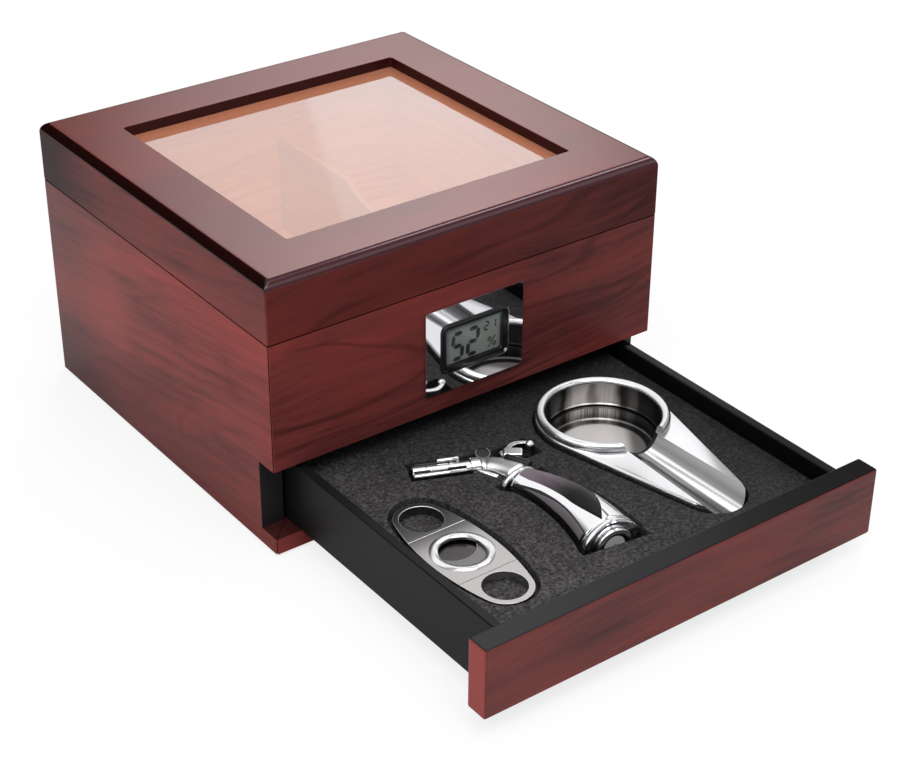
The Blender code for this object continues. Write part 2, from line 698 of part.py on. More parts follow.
def make_hinges(hinge):
    """Two butt hinges let into the rim and the lid, with their knuckles behind the case."""
    rim = bpy.data.objects["back_panel"]
    fixed = empty("hinge_line", hinge.location)
    for side, at in hinge_places():
        mortise = block((at - HINGE_WIDTH / 2 - GLUE_GAP, HALF_DEPTH - LEAF_LENGTH,
                         RIM - LEAF - SEAM),
                        (at + HINGE_WIDTH / 2 + GLUE_GAP, HALF_DEPTH + OVERRUN, RIM + OVERRUN))
        combine(rim, mortise, "DIFFERENCE", f"rim_mortise_{side}")
        bore = prism(circle(PIN_RADIUS + PIN_FIT, SMALL_ROUND),
                     at - HINGE_WIDTH, at + HINGE_WIDTH, "X")
        for part, upper, carrier in (("lower", False, fixed), ("upper", True, hinge)):
            plate, knuckles = leaf_shape(at, upper)
            name = f"hinge_{part}_{side}"
            leaf = piece(name, plate, BRASS, carrier)
            for index, (tongue, barrel) in enumerate(knuckles):
                combine(leaf, tongue, "UNION", f"{name}_tongue_{index}", carrier)
                combine(leaf, barrel, "UNION", f"{name}_barrel_{index}", carrier)
            combine(leaf, bore, "DIFFERENCE", f"{name}_bore", carrier)
        reach = HINGE_WIDTH / 2
        head = reach + GLUE_GAP
        profile = [(0.0, -head - PIN_HEAD), (PIN_HEAD_RADIUS, -head - PIN_HEAD),
                   (PIN_HEAD_RADIUS, -head), (PIN_RADIUS, -head), (PIN_RADIUS, reach), (0.0, reach)]
        pin = moved(spindle(profile, SMALL_ROUND), towards((at, 0.0, 0.0), (1.0, 0.0, 0.0)))
        piece(f"hinge_pin_{side}", pin, BRASS, fixed, (at, 0.0, 0.0))


def spindle(profile, steps):
    """A solid turned about Z from a profile that starts and ends on the axis."""
    inner = profile[1:-1]
    points = [(0.0, 0.0, profile[0][1])]
    for radius, height in inner:
        points += [(radius * math.cos(math.tau * i / steps), radius * math.sin(math.tau * i / steps),
                    height) for i in range(steps)]
    points.append((0.0, 0.0, profile[-1][1]))
    faces = [(0, 1 + i, 1 + (i + 1) % steps) for i in range(steps)]
    for level in range(len(inner) - 1):
        faces += ring_walls(1 + level * steps, 1 + (level + 1) * steps, steps)
    last, start = len(points) - 1, 1 + (len(inner) - 1) * steps
    faces += [(last, start + i, start + (i + 1) % steps) for i in range(steps)]
    return points, faces


def make_drawer(drawer):
    """A grooved box with a wide veneered front, and the foam that it holds."""
    low, top = BASE_TOP + FRONT_REVEAL, BAY_TOP - FRONT_REVEAL
    front = piece("drawer_front", block((-HALF_WIDTH, FRONT_Y, low), (HALF_WIDTH, FRONT_BACK_Y, top)),
                  MAHOGANY, drawer)
    ease(front, DRAWER_FRONT_EASE, 3)
    near, rear = FRONT_BACK_Y + GLUE_GAP, DRAWER_REAR
    inner = DRAWER_HALF - DRAWER_WALL
    groove = inner + GROOVE
    for side, sign in (("left", -1), ("right", 1)):
        section = [(sign * DRAWER_HALF, DRAWER_LOW), (sign * DRAWER_HALF, DRAWER_TOP),
                   (sign * inner, DRAWER_TOP), (sign * inner, BOTTOM_TOP + GLUE_GAP),
                   (sign * groove, BOTTOM_TOP + GLUE_GAP), (sign * groove, BOTTOM_LOW - GLUE_GAP),
                   (sign * inner, BOTTOM_LOW - GLUE_GAP), (sign * inner, DRAWER_LOW)]
        board = piece(f"drawer_side_{side}", prism(section, near, rear, "Y"), EBONISED, drawer)
        ease(board, DRAWER_WALL_EASE, 1)
    inside = inner - GLUE_GAP
    piece("drawer_back", block((-inside, rear - DRAWER_WALL, BOTTOM_TOP + GLUE_GAP),
                               (inside, rear, DRAWER_TOP)), EBONISED, drawer)
    tongue = groove - GLUE_GAP
    piece("drawer_bottom", block((-tongue, near, BOTTOM_LOW), (tongue, rear, BOTTOM_TOP)),
          EBONISED, drawer)
    foam = piece("foam_insert", block((-FOAM_HALF, near + FOAM_FIT, FOAM_LOW),
                                      (FOAM_HALF, rear - DRAWER_WALL - FOAM_FIT, FOAM_TOP)),
                 FOAM_LOOK, drawer)
    over = FOAM_TOP + OVERRUN
    pockets = (
        ("ashtray_plate_pocket", teardrop(ASHTRAY_ROOM), PLATE_LOW - GLUE_GAP, ASHTRAY_AT),
        ("ashtray_bowl_pocket", circle(BOWL_RADIUS + ASHTRAY_ROOM, BOWL_ROUND),
         BOWL_LOW - GLUE_GAP, ASHTRAY_AT),
        ("cutter_pocket", cutter_outline(-CUTTER_END, CUTTER_END, CUTTER_ROOM),
         CUTTER_LOW - GLUE_GAP, CUTTER_AT),
        ("handle_pocket", handle_plan(), LIGHTER_Z - FOOT_TALL - GLUE_GAP, LIGHTER_AT),
        ("head_pocket", head_plan(), LIGHTER_Z - NECK_TALL - COLLAR_FLARE - GLUE_GAP, LIGHTER_AT),
        ("barrel_pocket", barrel_plan(), LIGHTER_Z - KNURL_RADIUS - GLUE_GAP, LIGHTER_AT),
        ("lever_pocket", lever_plan(), LIGHTER_Z - LEVER_THICK / 2 - LIGHTER_ROOM, LIGHTER_AT),
    )
    for name, outline, floor, (x, y) in pockets:
        combine(foam, prism([(u + x, v + y) for u, v in outline], floor, over), "DIFFERENCE",
                name, drawer)


def teardrop(room=0.0):
    """The ashtray's outline: a large circle and a small one towards the front, with tangents."""
    big, small = PLATE_RADIUS + room, TAIL_RADIUS + room
    lean = math.asin((big - small) / ASHTRAY_REACH)
    points = []
    for step in range(HOLE_ROUND + 1):
        angle = -lean + (math.pi + 2 * lean) * step / HOLE_ROUND
        points.append((big * math.cos(angle), big * math.sin(angle)))
    for step in range(HOLE_ROUND // 2 + 1):
        angle = math.pi + lean + (math.pi - 2 * lean) * 2 * step / HOLE_ROUND
        points.append((small * math.cos(angle), small * math.sin(angle) - ASHTRAY_REACH))
    return points


def rest_channel():
    """The cigar rest's cutter: a flared round channel from the bowl out over the tail."""
    rings = []
    end = ASHTRAY_REACH + TAIL_RADIUS + OVERRUN
    for share in (0.0, 1.0):
        width = REST_WIDTH_IN + (REST_WIDTH_OUT - REST_WIDTH_IN) * share
        depth = REST_DEPTH_IN + (REST_DEPTH_OUT - REST_DEPTH_IN) * share
        radius = (width ** 2 / 4 + depth ** 2) / (2 * depth)
        middle = PLATE_TOP - depth + radius
        rings.append([(x, -end * share, z) for x, z in circle(radius, HOLE_ROUND, (0.0, middle))])
    return loft(rings)


def make_ashtray(lift):
    """A turned bowl with a rolled rim, dropped into a teardrop plate with a cigar rest."""
    hole = circle(BOWL_RADIUS + GLUE_GAP, BOWL_ROUND)
    plate = piece("ashtray_plate", prism(teardrop(), PLATE_LOW, PLATE_TOP, "Z", [hole]), CHROME,
                  lift, smooth=True)
    combine(plate, rest_channel(), "DIFFERENCE", "plate_rest", lift)
    inner, step = BOWL_RADIUS - BOWL_WALL, BOWL_RADIUS - BOWL_WALL - BOWL_STEP
    floor = BOWL_LOW + BOWL_FLOOR
    lip_low = PLATE_TOP + GLUE_GAP
    lip = (RIM_RADIUS - inner) / 2
    profile = [(0.0, BOWL_LOW), (BOWL_RADIUS, BOWL_LOW), (BOWL_RADIUS, lip_low),
               (RIM_RADIUS, lip_low)]
    for index in range(ROUND_STEPS + 1):
        angle = math.pi * index / ROUND_STEPS
        profile.append((inner + lip * (1 + math.cos(angle)),
                        RIM_TOP - lip + lip * math.sin(angle)))
    profile += [(inner, floor + BOWL_STEP_HEIGHT), (step, floor + BOWL_STEP_HEIGHT),
                (step, floor), (0.0, floor)]
    bowl = piece("ashtray_bowl", spindle(profile, BOWL_ROUND), BRUSHED, lift, smooth=True)
    combine(bowl, rest_channel(), "DIFFERENCE", "bowl_rest", lift)


def flank_radius(room=0.0):
    """The radius of the cutter's long sides, which run into the round of each grip."""
    half, grip, apart = CUTTER_WIDTH / 2 + room, GRIP_RADIUS + room, FINGER_APART / 2
    return (half ** 2 + apart ** 2 - grip ** 2) / (2 * (half - grip))


def half_breadth(along, room=0.0):
    """Half of the cutter's breadth at a place along it."""
    half, grip, apart = CUTTER_WIDTH / 2 + room, GRIP_RADIUS + room, FINGER_APART / 2
    big = flank_radius(room)
    centre = half - big
    touch = apart * big / (big - grip)
    if abs(along) <= touch:
        return centre + math.sqrt(big ** 2 - along ** 2)
    return math.sqrt(max(grip ** 2 - (abs(along) - apart) ** 2, 0.0))


def cutter_outline(start, end, room=0.0):
    """The cutter's plan between two places along it, with a pointed end left round."""
    start, end = (value + math.copysign(room, value) if abs(value) >= CUTTER_END else value
                  for value in (start, end))
    middle, reach = (start + end) / 2, (end - start) / 2
    along = [middle - reach * math.cos(math.pi * step / HOLE_ROUND)
             for step in range(HOLE_ROUND + 1)]
    right = [(half_breadth(value, room), value) for value in along]
    left = [(-x, y) for x, y in reversed(right)]
    outline = []
    for point in right + left:
        if not outline or (Vector(point) - Vector(outline[-1])).length > GLUE_GAP:
            outline.append(point)
    return outline


def make_cutter(lift, rear_grip, front_grip):
    """A double-blade cutter: a ring frame, with two finger grips that carry the blades."""
    half = FRAME_LENGTH / 2
    cigar = circle(CIGAR_RADIUS, HOLE_ROUND)
    frame = piece("cutter_frame", prism(cutter_outline(-half, half), CUTTER_LOW, CUTTER_TOP, "Z",
                                        [cigar]), BRUSHED, lift)
    collar = prism(circle(RING_RADIUS, HOLE_ROUND), CUTTER_TOP - OVERRUN / 2,
                   CUTTER_TOP + RING_PROUD, "Z", [cigar])
    combine(frame, collar, "UNION", "cutter_ring", lift)
    room = BLADE + 1.5 * BLADE_GAP
    slot_x = BLADE_WIDTH / 2 + BLADE_GAP
    slot = block((-slot_x, -CUTTER_END, CUTTER_MID - room), (slot_x, CUTTER_END, CUTTER_MID + room))
    combine(frame, slot, "DIFFERENCE", "blade_slot", lift)
    edge_shift = EDGE_RADIUS + BLADE_OVERLAP / 2
    for name, sign, carrier in (("rear", 1, rear_grip), ("front", -1, front_grip)):
        inner = half + PART_GAP
        outline = [(x, sign * y) for x, y in cutter_outline(inner, CUTTER_END)]
        finger = circle(FINGER_RADIUS, HOLE_ROUND, (0.0, sign * FINGER_APART / 2))
        grip = piece(f"cutter_grip_{name}", prism(outline, CUTTER_LOW, CUTTER_TOP, "Z", [finger]),
                     BRUSHED, carrier)
        middle = CUTTER_MID + sign * (BLADE + BLADE_GAP) / 2
        root = BLADE_GAP + BLADE / 2
        pocket_ends = sorted((sign * (inner - OVERRUN), sign * (inner + BLADE_ROOT)))
        pocket = block((-slot_x, pocket_ends[0], middle - root),
                       (slot_x, pocket_ends[1], middle + root))
        combine(grip, pocket, "DIFFERENCE", f"blade_pocket_{name}", carrier)
        piece(f"cutter_blade_{name}",
              prism(blade_plan(sign, inner + BLADE_ROOT - BLADE_GAP, edge_shift),
                    middle - BLADE / 2, middle + BLADE / 2), CHROME, carrier)


def blade_plan(sign, root, edge_shift):
    """A blade's plan: square in the grip, and hollowed to a crescent cutting edge."""
    half = BLADE_WIDTH / 2
    sweep = math.asin(min(half / EDGE_RADIUS, 1.0)) if half < EDGE_RADIUS else math.radians(80.0)
    points = [(half, root), (-half, root)]
    tip = -edge_shift + EDGE_RADIUS * math.cos(sweep)
    points.append((-half, tip))
    for step in range(SMALL_ROUND + 1):
        angle = -sweep + 2 * sweep * step / SMALL_ROUND
        points.append((EDGE_RADIUS * math.sin(angle), -edge_shift + EDGE_RADIUS * math.cos(angle)))
    points.append((half, tip))
    return [(x, sign * y) for x, y in points]


def curve(controls, share):
    """A point of a smooth curve between its first and last control, and the way it runs."""
    level, heading = [Vector(point) for point in controls], None
    while len(level) > 1:
        heading = level[-1] - level[0]
        level = [first.lerp(second, share) for first, second in zip(level, level[1:])]
    return level[0], heading.normalized()


def pointing(degrees):
    """A direction in plan."""
    return Vector((math.cos(math.radians(degrees)), math.sin(math.radians(degrees))))


def handle_frame(share):
    """The middle of the handle at a share of its length, and the way that its section faces."""
    centre = curve(((0.0, 0.0), HANDLE_BEND, HANDLE_END), share)[0]
    return centre, pointing(NECK_AIM + (FOOT_AIM - NECK_AIM) * share)


def handle_half(share):
    """The handle's half breadths in plan and upright, which grow from neck to foot."""
    neck, waist, foot = ((NECK_WIDE, NECK_TALL), (WAIST_WIDE, WAIST_TALL), (FOOT_WIDE, FOOT_TALL))
    first, second, blend = (neck, waist, share * 2) if share < 0.5 else (waist, foot, share * 2 - 1)
    return tuple(low + (high - low) * blend for low, high in zip(first, second))


def handle_point(share, angle, out=0.0):
    """A point of the handle's skin: angle 0 is its right side, 90 degrees its top."""
    centre, heading = handle_frame(share)
    wide, tall = handle_half(share)
    across = Vector((-heading.y, heading.x))
    plan = centre + across * (wide + out) * math.cos(angle)
    return plan.x, plan.y, LIGHTER_Z + (tall + out) * math.sin(angle)


def strip(stations):
    """The plan of a band: stations of (point, heading, half breadth)."""
    right, left = [], []
    for point, heading, half in stations:
        across = Vector((-heading.y, heading.x)) * half
        right.append(tuple(point + across))
        left.append(tuple(point - across))
    return right + left[::-1]


def handle_plan():
    """The handle's pocket, from behind the collar to past the foot."""
    room = INLAY + INLAY_GAP + LIGHTER_ROOM
    stations = []
    for step in range(HANDLE_STATIONS + 1):
        share = step / HANDLE_STATIONS
        centre, heading = handle_frame(share)
        stations.append((centre, heading, handle_half(share)[0] + room))
    neck, facing, half = stations[0]
    guard = half + GUARD_REACH
    stations[0] = (neck, facing, guard)
    stations.insert(0, (neck - facing * (COLLAR_LENGTH + LIGHTER_ROOM), facing, guard))
    foot, facing, half = stations[-1]
    stations.append((foot + facing * (FLAME_WHEEL + LIGHTER_ROOM), facing, half))
    return strip(stations)


def head_path(share):
    """The middle line of the head, from the collar round to the root of the barrel."""
    rise = Vector(HEAD_START) - pointing(NECK_AIM) * HEAD_RISE
    run = Vector(HEAD_END) - pointing(BARREL_AIM) * HEAD_RUN
    return curve((HEAD_START, rise, run, HEAD_END), share)


def head_radius(share):
    """The head's radius, which tapers from the collar to the barrel."""
    return HEAD_IN + (HEAD_OUT - HEAD_IN) * share


def head_plan():
    """The head's pocket, which runs back into the handle's."""
    stations = [(*head_path(step / CORNER_STEPS),
                 head_radius(step / CORNER_STEPS) + LIGHTER_ROOM)
                for step in range(CORNER_STEPS + 1)]
    first, heading, half = stations[0]
    stations.insert(0, (first - heading * COLLAR_LENGTH, heading, half))
    return strip(stations)


def barrel_plan():
    """The barrel's pocket, with room for the catch on its far side."""
    aim = pointing(BARREL_AIM)
    root = Vector(HEAD_END) - aim * KNURL_LENGTH
    tip = Vector(HEAD_END) + aim * (BARREL_LENGTH + LIGHTER_ROOM)
    half = KNURL_RADIUS + CATCH_WIDE + LIGHTER_ROOM
    return strip([(root, aim, half), (tip, aim, half)])


def lever_pivot():
    """The lever's turning point, beside the head on the side away from the barrel."""
    point, heading = head_path(LEVER_SHARE)
    away = head_radius(LEVER_SHARE) + INLAY_GAP + LEVER_BOSS
    return point + Vector((heading.y, -heading.x)) * away


def lever_plan():
    """The lever's pocket, wide enough for the lever to be pressed."""
    east = Vector((1.0, 0.0))
    start = lever_pivot() - east * (HEAD_IN + LEVER_BOSS)
    end = lever_pivot() + east * (LEVER_REACH + LIGHTER_ROOM)
    half = LEVER_RISE + LEVER_WIDE + LIGHTER_ROOM
    return strip([(start, east, half), (end, east, half)])


def section(centre, heading, wide, tall):
    """An upright ellipse across a heading in plan."""
    across = Vector((-heading.y, heading.x))
    ring = []
    for step in range(HANDLE_ROUND):
        angle = math.tau * step / HANDLE_ROUND
        plan = centre + across * wide * math.cos(angle)
        ring.append((plan.x, plan.y, LIGHTER_Z + tall * math.sin(angle)))
    return ring


def skin_patch(start, end, angle_low, angle_high, low, high, steps=8, across=5):
    """A curved panel laid on the handle, drawn in to a point at both ends."""
    layers = []
    for out in (low, high):
        for step in range(steps + 1):
            share = start + (end - start) * step / steps
            swell = 0.25 + 0.75 * math.sin(math.pi * step / steps)
            middle, half = (angle_low + angle_high) / 2, (angle_high - angle_low) / 2 * swell
            for index in range(across + 1):
                angle = middle - half + 2 * half * index / across
                layers.append(handle_point(share, math.radians(angle), out))
    wide, area = across + 1, (across + 1) * (steps + 1)
    faces = []
    for step in range(steps):
        for index in range(across):
            corner = step * wide + index
            quad = (corner, corner + 1, corner + 1 + wide, corner + wide)
            faces += [quad, tuple(i + area for i in quad)]
    edge = [index for index in range(wide)]
    edge += [step * wide + across for step in range(1, steps + 1)]
    edge += [steps * wide + index for index in range(across - 1, -1, -1)]
    edge += [step * wide for step in range(steps - 1, 0, -1)]
    for first, second in zip(edge, edge[1:] + edge[:1]):
        faces.append((first, second, second + area, first + area))
    return layers, faces


def make_lighter(lift):
    """A jet lighter lying on its side: handle, inlays, collar, head, barrel, lever and base."""
    shares = [step / HANDLE_STATIONS for step in range(HANDLE_STATIONS + 1)]
    rings = [section(*handle_frame(share), *handle_half(share)) for share in shares]
    piece("lighter_handle", loft(rings), CHROME, lift, smooth=True)
    for side, middle in INLAY_MIDDLES:
        patch = skin_patch(INLAY_START_SHARE, INLAY_END_SHARE, middle - INLAY_ARC / 2,
                           middle + INLAY_ARC / 2, INLAY_GAP, INLAY_GAP + INLAY)
        piece(f"lighter_inlay_{side}", patch, BLACK_PLASTIC, lift, smooth=True)
    neck, heading = handle_frame(0.0)
    across = Vector((-heading.y, heading.x))
    middle = neck - across * GUARD_REACH / 2
    rings = [section(middle - heading * back, heading, NECK_WIDE + COLLAR_FLARE + GUARD_REACH / 2,
                     NECK_TALL + COLLAR_FLARE)
             for back in (INLAY_GAP, INLAY_GAP + COLLAR_LENGTH)]
    piece("lighter_collar", loft(rings), CHROME, lift, smooth=True)
    rings = [section(*head_path(share), head_radius(share), head_radius(share))
             for share in shares[::2]]
    piece("lighter_head", loft(rings), CHROME, lift, smooth=True)
    make_barrel(lift)
    make_lever(lift)
    foot, facing = handle_frame(1.0)
    seat = foot + facing * INLAY_GAP
    at = (seat.x, seat.y, LIGHTER_Z)
    frame = towards(at, (facing.x, facing.y, 0.0))
    hole = circle(VALVE_RADIUS + INLAY_GAP, HOLE_ROUND)
    wheel = prism(circle(FLAME_WHEEL_RADIUS, HOLE_ROUND), 0.0, FLAME_WHEEL, "Z", [hole])
    piece("lighter_flame_wheel", moved(wheel, frame), BLACK_PLASTIC, lift, at, True)
    valve = prism(circle(VALVE_RADIUS, HOLE_ROUND), 0.0, VALVE)
    piece("lighter_fill_valve", moved(valve, frame), BRUSHED, lift, smooth=True)


def make_barrel(lift):
    """The burner tube with its knurled root, its open mouth and the catch along it."""
    aim = pointing(BARREL_AIM)
    root = Vector(HEAD_END) + aim * INLAY_GAP
    frame = towards((root.x, root.y, LIGHTER_Z), (aim.x, aim.y, 0.0))
    neck = KNURL_LENGTH + KNURL_RADIUS - BARREL_ROOT
    profile = [(0.0, 0.0), (KNURL_RADIUS, 0.0), (KNURL_RADIUS, KNURL_LENGTH), (BARREL_ROOT, neck),
               (BARREL_TIP, BARREL_LENGTH), (BARREL_BORE, BARREL_LENGTH),
               (BARREL_BORE, BARREL_LENGTH - BORE_DEPTH), (0.0, BARREL_LENGTH - BORE_DEPTH)]
    piece("lighter_barrel", moved(spindle(profile, SMALL_ROUND), frame), CHROME, lift, smooth=True)
    start = BARREL_LENGTH * CATCH_START_SHARE
    catch_end = start + CATCH_LENGTH
    slope = (BARREL_TIP - BARREL_ROOT) / (BARREL_LENGTH - neck)
    clear = BARREL_ROOT + slope * (catch_end - neck) + INLAY_GAP
    low = (-clear - CATCH_WIDE, -CATCH_TALL / 2, start)
    high = (-clear, CATCH_TALL / 2, catch_end)
    turn = frame @ Matrix.Rotation(catch_turn(frame), 4, "Z")
    ease(piece("lighter_catch", moved(block(low, high), turn), CHROME, lift), INLAY_GAP, 1)


def catch_turn(frame):
    """The turn about the barrel that brings the catch to the side away from the handle."""
    sideways = frame.to_3x3() @ Vector((1.0, 0.0, 0.0))
    return 0.0 if sideways.y < 0 or abs(sideways.z) > abs(sideways.y) else math.pi


def make_lever(lift):
    """The thumb lever: a hook on a round boss that turns about an upright pin line."""
    pivot = lever_pivot()
    outline = [(LEVER_BOSS * math.cos(angle), LEVER_BOSS * math.sin(angle))
               for angle in (math.radians(90.0 + 24.0 * step) for step in range(8))]
    lower, upper = [], []
    for step in range(HANDLE_STATIONS + 1):
        share = step / HANDLE_STATIONS
        x = LEVER_BOSS * 0.5 + (LEVER_REACH - LEVER_BOSS * 0.5) * share
        y = LEVER_RISE * math.sin(math.pi * share)
        lower.append((x, y - LEVER_WIDE / 2))
        upper.append((x, y + LEVER_WIDE / 2))
    outline = [point for point in outline if point[0] < LEVER_BOSS * 0.5] + lower + upper[::-1]
    low, high = LIGHTER_Z - LEVER_THICK / 2, LIGHTER_Z + LEVER_THICK / 2
    shape = prism([(pivot.x + x, pivot.y + y) for x, y in outline], low, high)
    made = piece("lighter_lever", shape, CHROME, lift, (pivot.x, pivot.y, LIGHTER_Z))
    ease(made, INLAY_GAP, 1)


def main():
    clear_scene()
    make_case()
    make_lining()
    make_divider()
    make_humidifier()
    make_hygrometer()
    hinge = empty("lid_axis", (0.0, HINGE_Y, HINGE_Z))
    make_lid(hinge)
    make_hinges(hinge)
    drawer = empty("drawer_axis", (0.0, -DRAWER_OPEN, 0.0))
    make_drawer(drawer)
    make_ashtray(empty("ashtray_axis", (*ASHTRAY_AT, 0.0), drawer))
    cutter = empty("cutter_axis", (*CUTTER_AT, 0.0), drawer)
    rear_grip = empty("cutter_rear_axis", (0.0, 0.0, 0.0), cutter)
    front_grip = empty("cutter_front_axis", (0.0, 0.0, 0.0), cutter)
    make_cutter(cutter, rear_grip, front_grip)
    make_lighter(empty("lighter_axis", (*LIGHTER_AT, 0.0), drawer))


if __name__ == "__main__":
    main()
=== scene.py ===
"""Looks for a desktop cigar humidor with an accessory drawer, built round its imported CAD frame.

The file is laid out as a Blender add-on: sizes and colours are properties, each group of pieces
is one operator, and main() runs them in order. Everything is in metres in the CAD's frame.
"""

import json
import math

import bmesh
import bpy
from bpy.props import FloatProperty, FloatVectorProperty, IntProperty, PointerProperty
from mathutils import Matrix, Vector
from mathutils.geometry import tessellate_polygon

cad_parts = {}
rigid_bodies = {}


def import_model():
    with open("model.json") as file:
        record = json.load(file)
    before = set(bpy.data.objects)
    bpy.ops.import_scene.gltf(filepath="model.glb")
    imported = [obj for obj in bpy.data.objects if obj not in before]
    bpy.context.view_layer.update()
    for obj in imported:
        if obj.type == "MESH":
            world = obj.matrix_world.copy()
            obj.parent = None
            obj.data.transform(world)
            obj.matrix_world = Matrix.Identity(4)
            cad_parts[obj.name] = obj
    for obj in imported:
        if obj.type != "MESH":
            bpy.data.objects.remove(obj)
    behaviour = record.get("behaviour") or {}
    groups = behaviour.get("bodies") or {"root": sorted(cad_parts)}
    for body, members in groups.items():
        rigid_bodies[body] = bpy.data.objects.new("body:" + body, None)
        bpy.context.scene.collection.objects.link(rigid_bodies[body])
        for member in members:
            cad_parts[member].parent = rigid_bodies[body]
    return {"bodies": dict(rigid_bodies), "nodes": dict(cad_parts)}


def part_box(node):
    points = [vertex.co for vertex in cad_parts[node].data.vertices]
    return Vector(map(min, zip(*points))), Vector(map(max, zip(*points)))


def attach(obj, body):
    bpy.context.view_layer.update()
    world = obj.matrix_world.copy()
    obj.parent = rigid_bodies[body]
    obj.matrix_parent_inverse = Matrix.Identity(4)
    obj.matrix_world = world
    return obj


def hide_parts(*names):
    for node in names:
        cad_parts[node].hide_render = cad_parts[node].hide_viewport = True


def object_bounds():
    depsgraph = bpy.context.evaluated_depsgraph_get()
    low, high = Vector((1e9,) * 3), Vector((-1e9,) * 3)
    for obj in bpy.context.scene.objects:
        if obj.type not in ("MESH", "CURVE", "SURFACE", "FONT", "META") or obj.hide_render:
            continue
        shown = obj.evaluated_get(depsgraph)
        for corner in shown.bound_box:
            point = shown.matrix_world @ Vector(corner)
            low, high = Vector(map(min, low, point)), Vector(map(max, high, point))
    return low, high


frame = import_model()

bl_info = {
    "name": "Cigar humidor looks",
    "version": (1, 0, 0),
    "blender": (4, 5, 0),
    "location": "View3D > Sidebar > Humidor",
    "description": "Veneer, cedar, foam and metal pieces round the humidor's CAD frame",
    "category": "Object",
}

CAD_LOW, CAD_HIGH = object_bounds()
NODES = frame["nodes"]
FRONT_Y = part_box("front_panel")[0].y
BACK_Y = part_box("back_panel")[1].y
MM = 0.001

# Sizes shared with the part's source
RIM_EASE = 0.5 * MM
PANEL_EASE = 1.1 * MM
GLUE_GAP = 0.3 * MM
PART_GAP = 0.35 * MM
OVERRUN = 3 * MM
LID_WALL = 14 * MM
LID_TOP = 6.2 * MM
LID_ROUND = 5.6 * MM
WINDOW_BORDER = 36 * MM
WINDOW_CORNER = 3 * MM
WALL_CORNER = 0.6 * MM
BEZEL_CORNER = 1.2 * MM
METER_CORNER = 4 * MM
METER_FIT = 0.5 * MM
FRAME_BORDER = 3.2 * MM
ASHTRAY_REACH = 88 * MM
TAIL_RADIUS = 18 * MM
BOWL_RADIUS = 34 * MM
BOWL_WALL = 1.5 * MM
BOWL_FLOOR = 1.4 * MM
BOWL_STEP = 2.2 * MM
BOWL_STEP_HEIGHT = 8 * MM
RIM_RADIUS = 37.6 * MM
REST_WIDTHS = (22 * MM, 31 * MM)
REST_DEPTHS = (6.0 * MM, 7.8 * MM)
CUTTER_WIDTH = 39.5 * MM
FRAME_LENGTH = 42.4 * MM
FINGER_APART = 70.4 * MM
FINGER_RADIUS = 11.8 * MM
GRIP_RADIUS = 15 * MM
CIGAR_RADIUS = 12.4 * MM
RING_RADIUS = 17 * MM
RING_PROUD = 1.0 * MM
BLADE_GAP = 0.35 * MM
BLADE_WIDTH = 29 * MM
BLADE_ROOT = 1.2 * MM
BLADE_OVERLAP = 1.0 * MM
EDGE_RADIUS = 13 * MM

# The lighter's neck in plan while the drawer is out, as the part's source has it but rounded
NECK_AT = Vector((-0.0155, -0.190))

# The lighter's shared sizes: places are in plan from NECK_AT, half breadths in plan and upright
LIGHTER_Z = 37.2 * MM
HANDLE_BEND = (13.9 * MM, -30.6 * MM)
HANDLE_END = (2.6 * MM, -69.2 * MM)
NECK_AIM = -90.0
FOOT_AIM = -98.0
NECK = (9.8 * MM, 9.4 * MM)
WAIST = (14.0 * MM, 12.2 * MM)
FOOT = (17.4 * MM, 13.1 * MM)
COLLAR_LENGTH = 3.4 * MM
COLLAR_FLARE = 1.4 * MM
GUARD_REACH = 3.2 * MM
HEAD_START = (2.0 * MM, 4.2 * MM)
HEAD_END = (-8.7 * MM, 27.3 * MM)
HEAD_RISE = 8 * MM
HEAD_RUN = 8 * MM
HEAD_IN = 7.6 * MM
HEAD_OUT = 4.8 * MM
BARREL_AIM = 157.5
BARREL_LENGTH = 38 * MM
BARREL_BORE = 3.1 * MM
BORE_DEPTH = 14 * MM
KNURL_LENGTH = 6.0 * MM
LEVER_SHARE = 0.62
LEVER_BOSS = 2.6 * MM
LEVER_REACH = 18.5 * MM
LEVER_RISE = 4.4 * MM
LEVER_WIDE = 2.2 * MM
LEVER_THICK = 7.0 * MM
FLAME_WHEEL_RADIUS = 10.8 * MM
FLAME_WHEEL = 2.6 * MM
VALVE_RADIUS = 6.4 * MM
VALVE = 1.8 * MM

# Sizes of the looks alone
FRAME_LIP = 1.1 * MM
WINDOW_SHIFT = 1.1 * MM
PLATE_RADIUS = 38.2 * MM
PLATE_ROUND = 1.2 * MM
EDGE_SHIFT = 4.0 * MM
BLADE_ROOM = 1.4 * MM
FOOT_GROOVE = 0.90
BARREL_ROOT = 4.4 * MM
BARREL_TIP = 5.2 * MM
BARREL_RISE = 1.5 * MM
BARREL_FORWARD = 1.2 * MM
HEAD_FORWARD = Vector((-0.35, -0.94))
KNURL_RADIUS = 5.0 * MM
KNURL_TEETH = 22
LEVER_LIFT = 2.0 * MM
SHOE_AIM = -37.0
LINE_TURN = math.radians(48.0)
RAIL_TURN = math.radians(20.0)
CATCH_TURN = math.radians(118.0)
SLOT_TURN = math.radians(112.0)

# Small trim of the lighter's head in millimetres, with heights from LIGHTER_Z
# The first is a black rod of painted shade along the head, under the lever.
HEAD_SHADE_BAR = ((-12.5, -169.5, 5.6), (-6.5, -184.0, 6.6))
HEAD_RIB = ((-29.6, -167.8, 2.9), (-24.6, -179.0, 2.6))
KNOB_AT = (-19.5, -158.4, 3.2)
SHOE_AT = (-6.4, -168.4, 0.0)

# Figures of the display as breadth, height, breadth of a bar and pitch
LARGE_FIGURES = (6.4 * MM, 15.5 * MM, 2.5 * MM, 10.4 * MM)
SMALL_FIGURES = (2.7 * MM, 5.0 * MM, 1.0 * MM, 4.8 * MM)

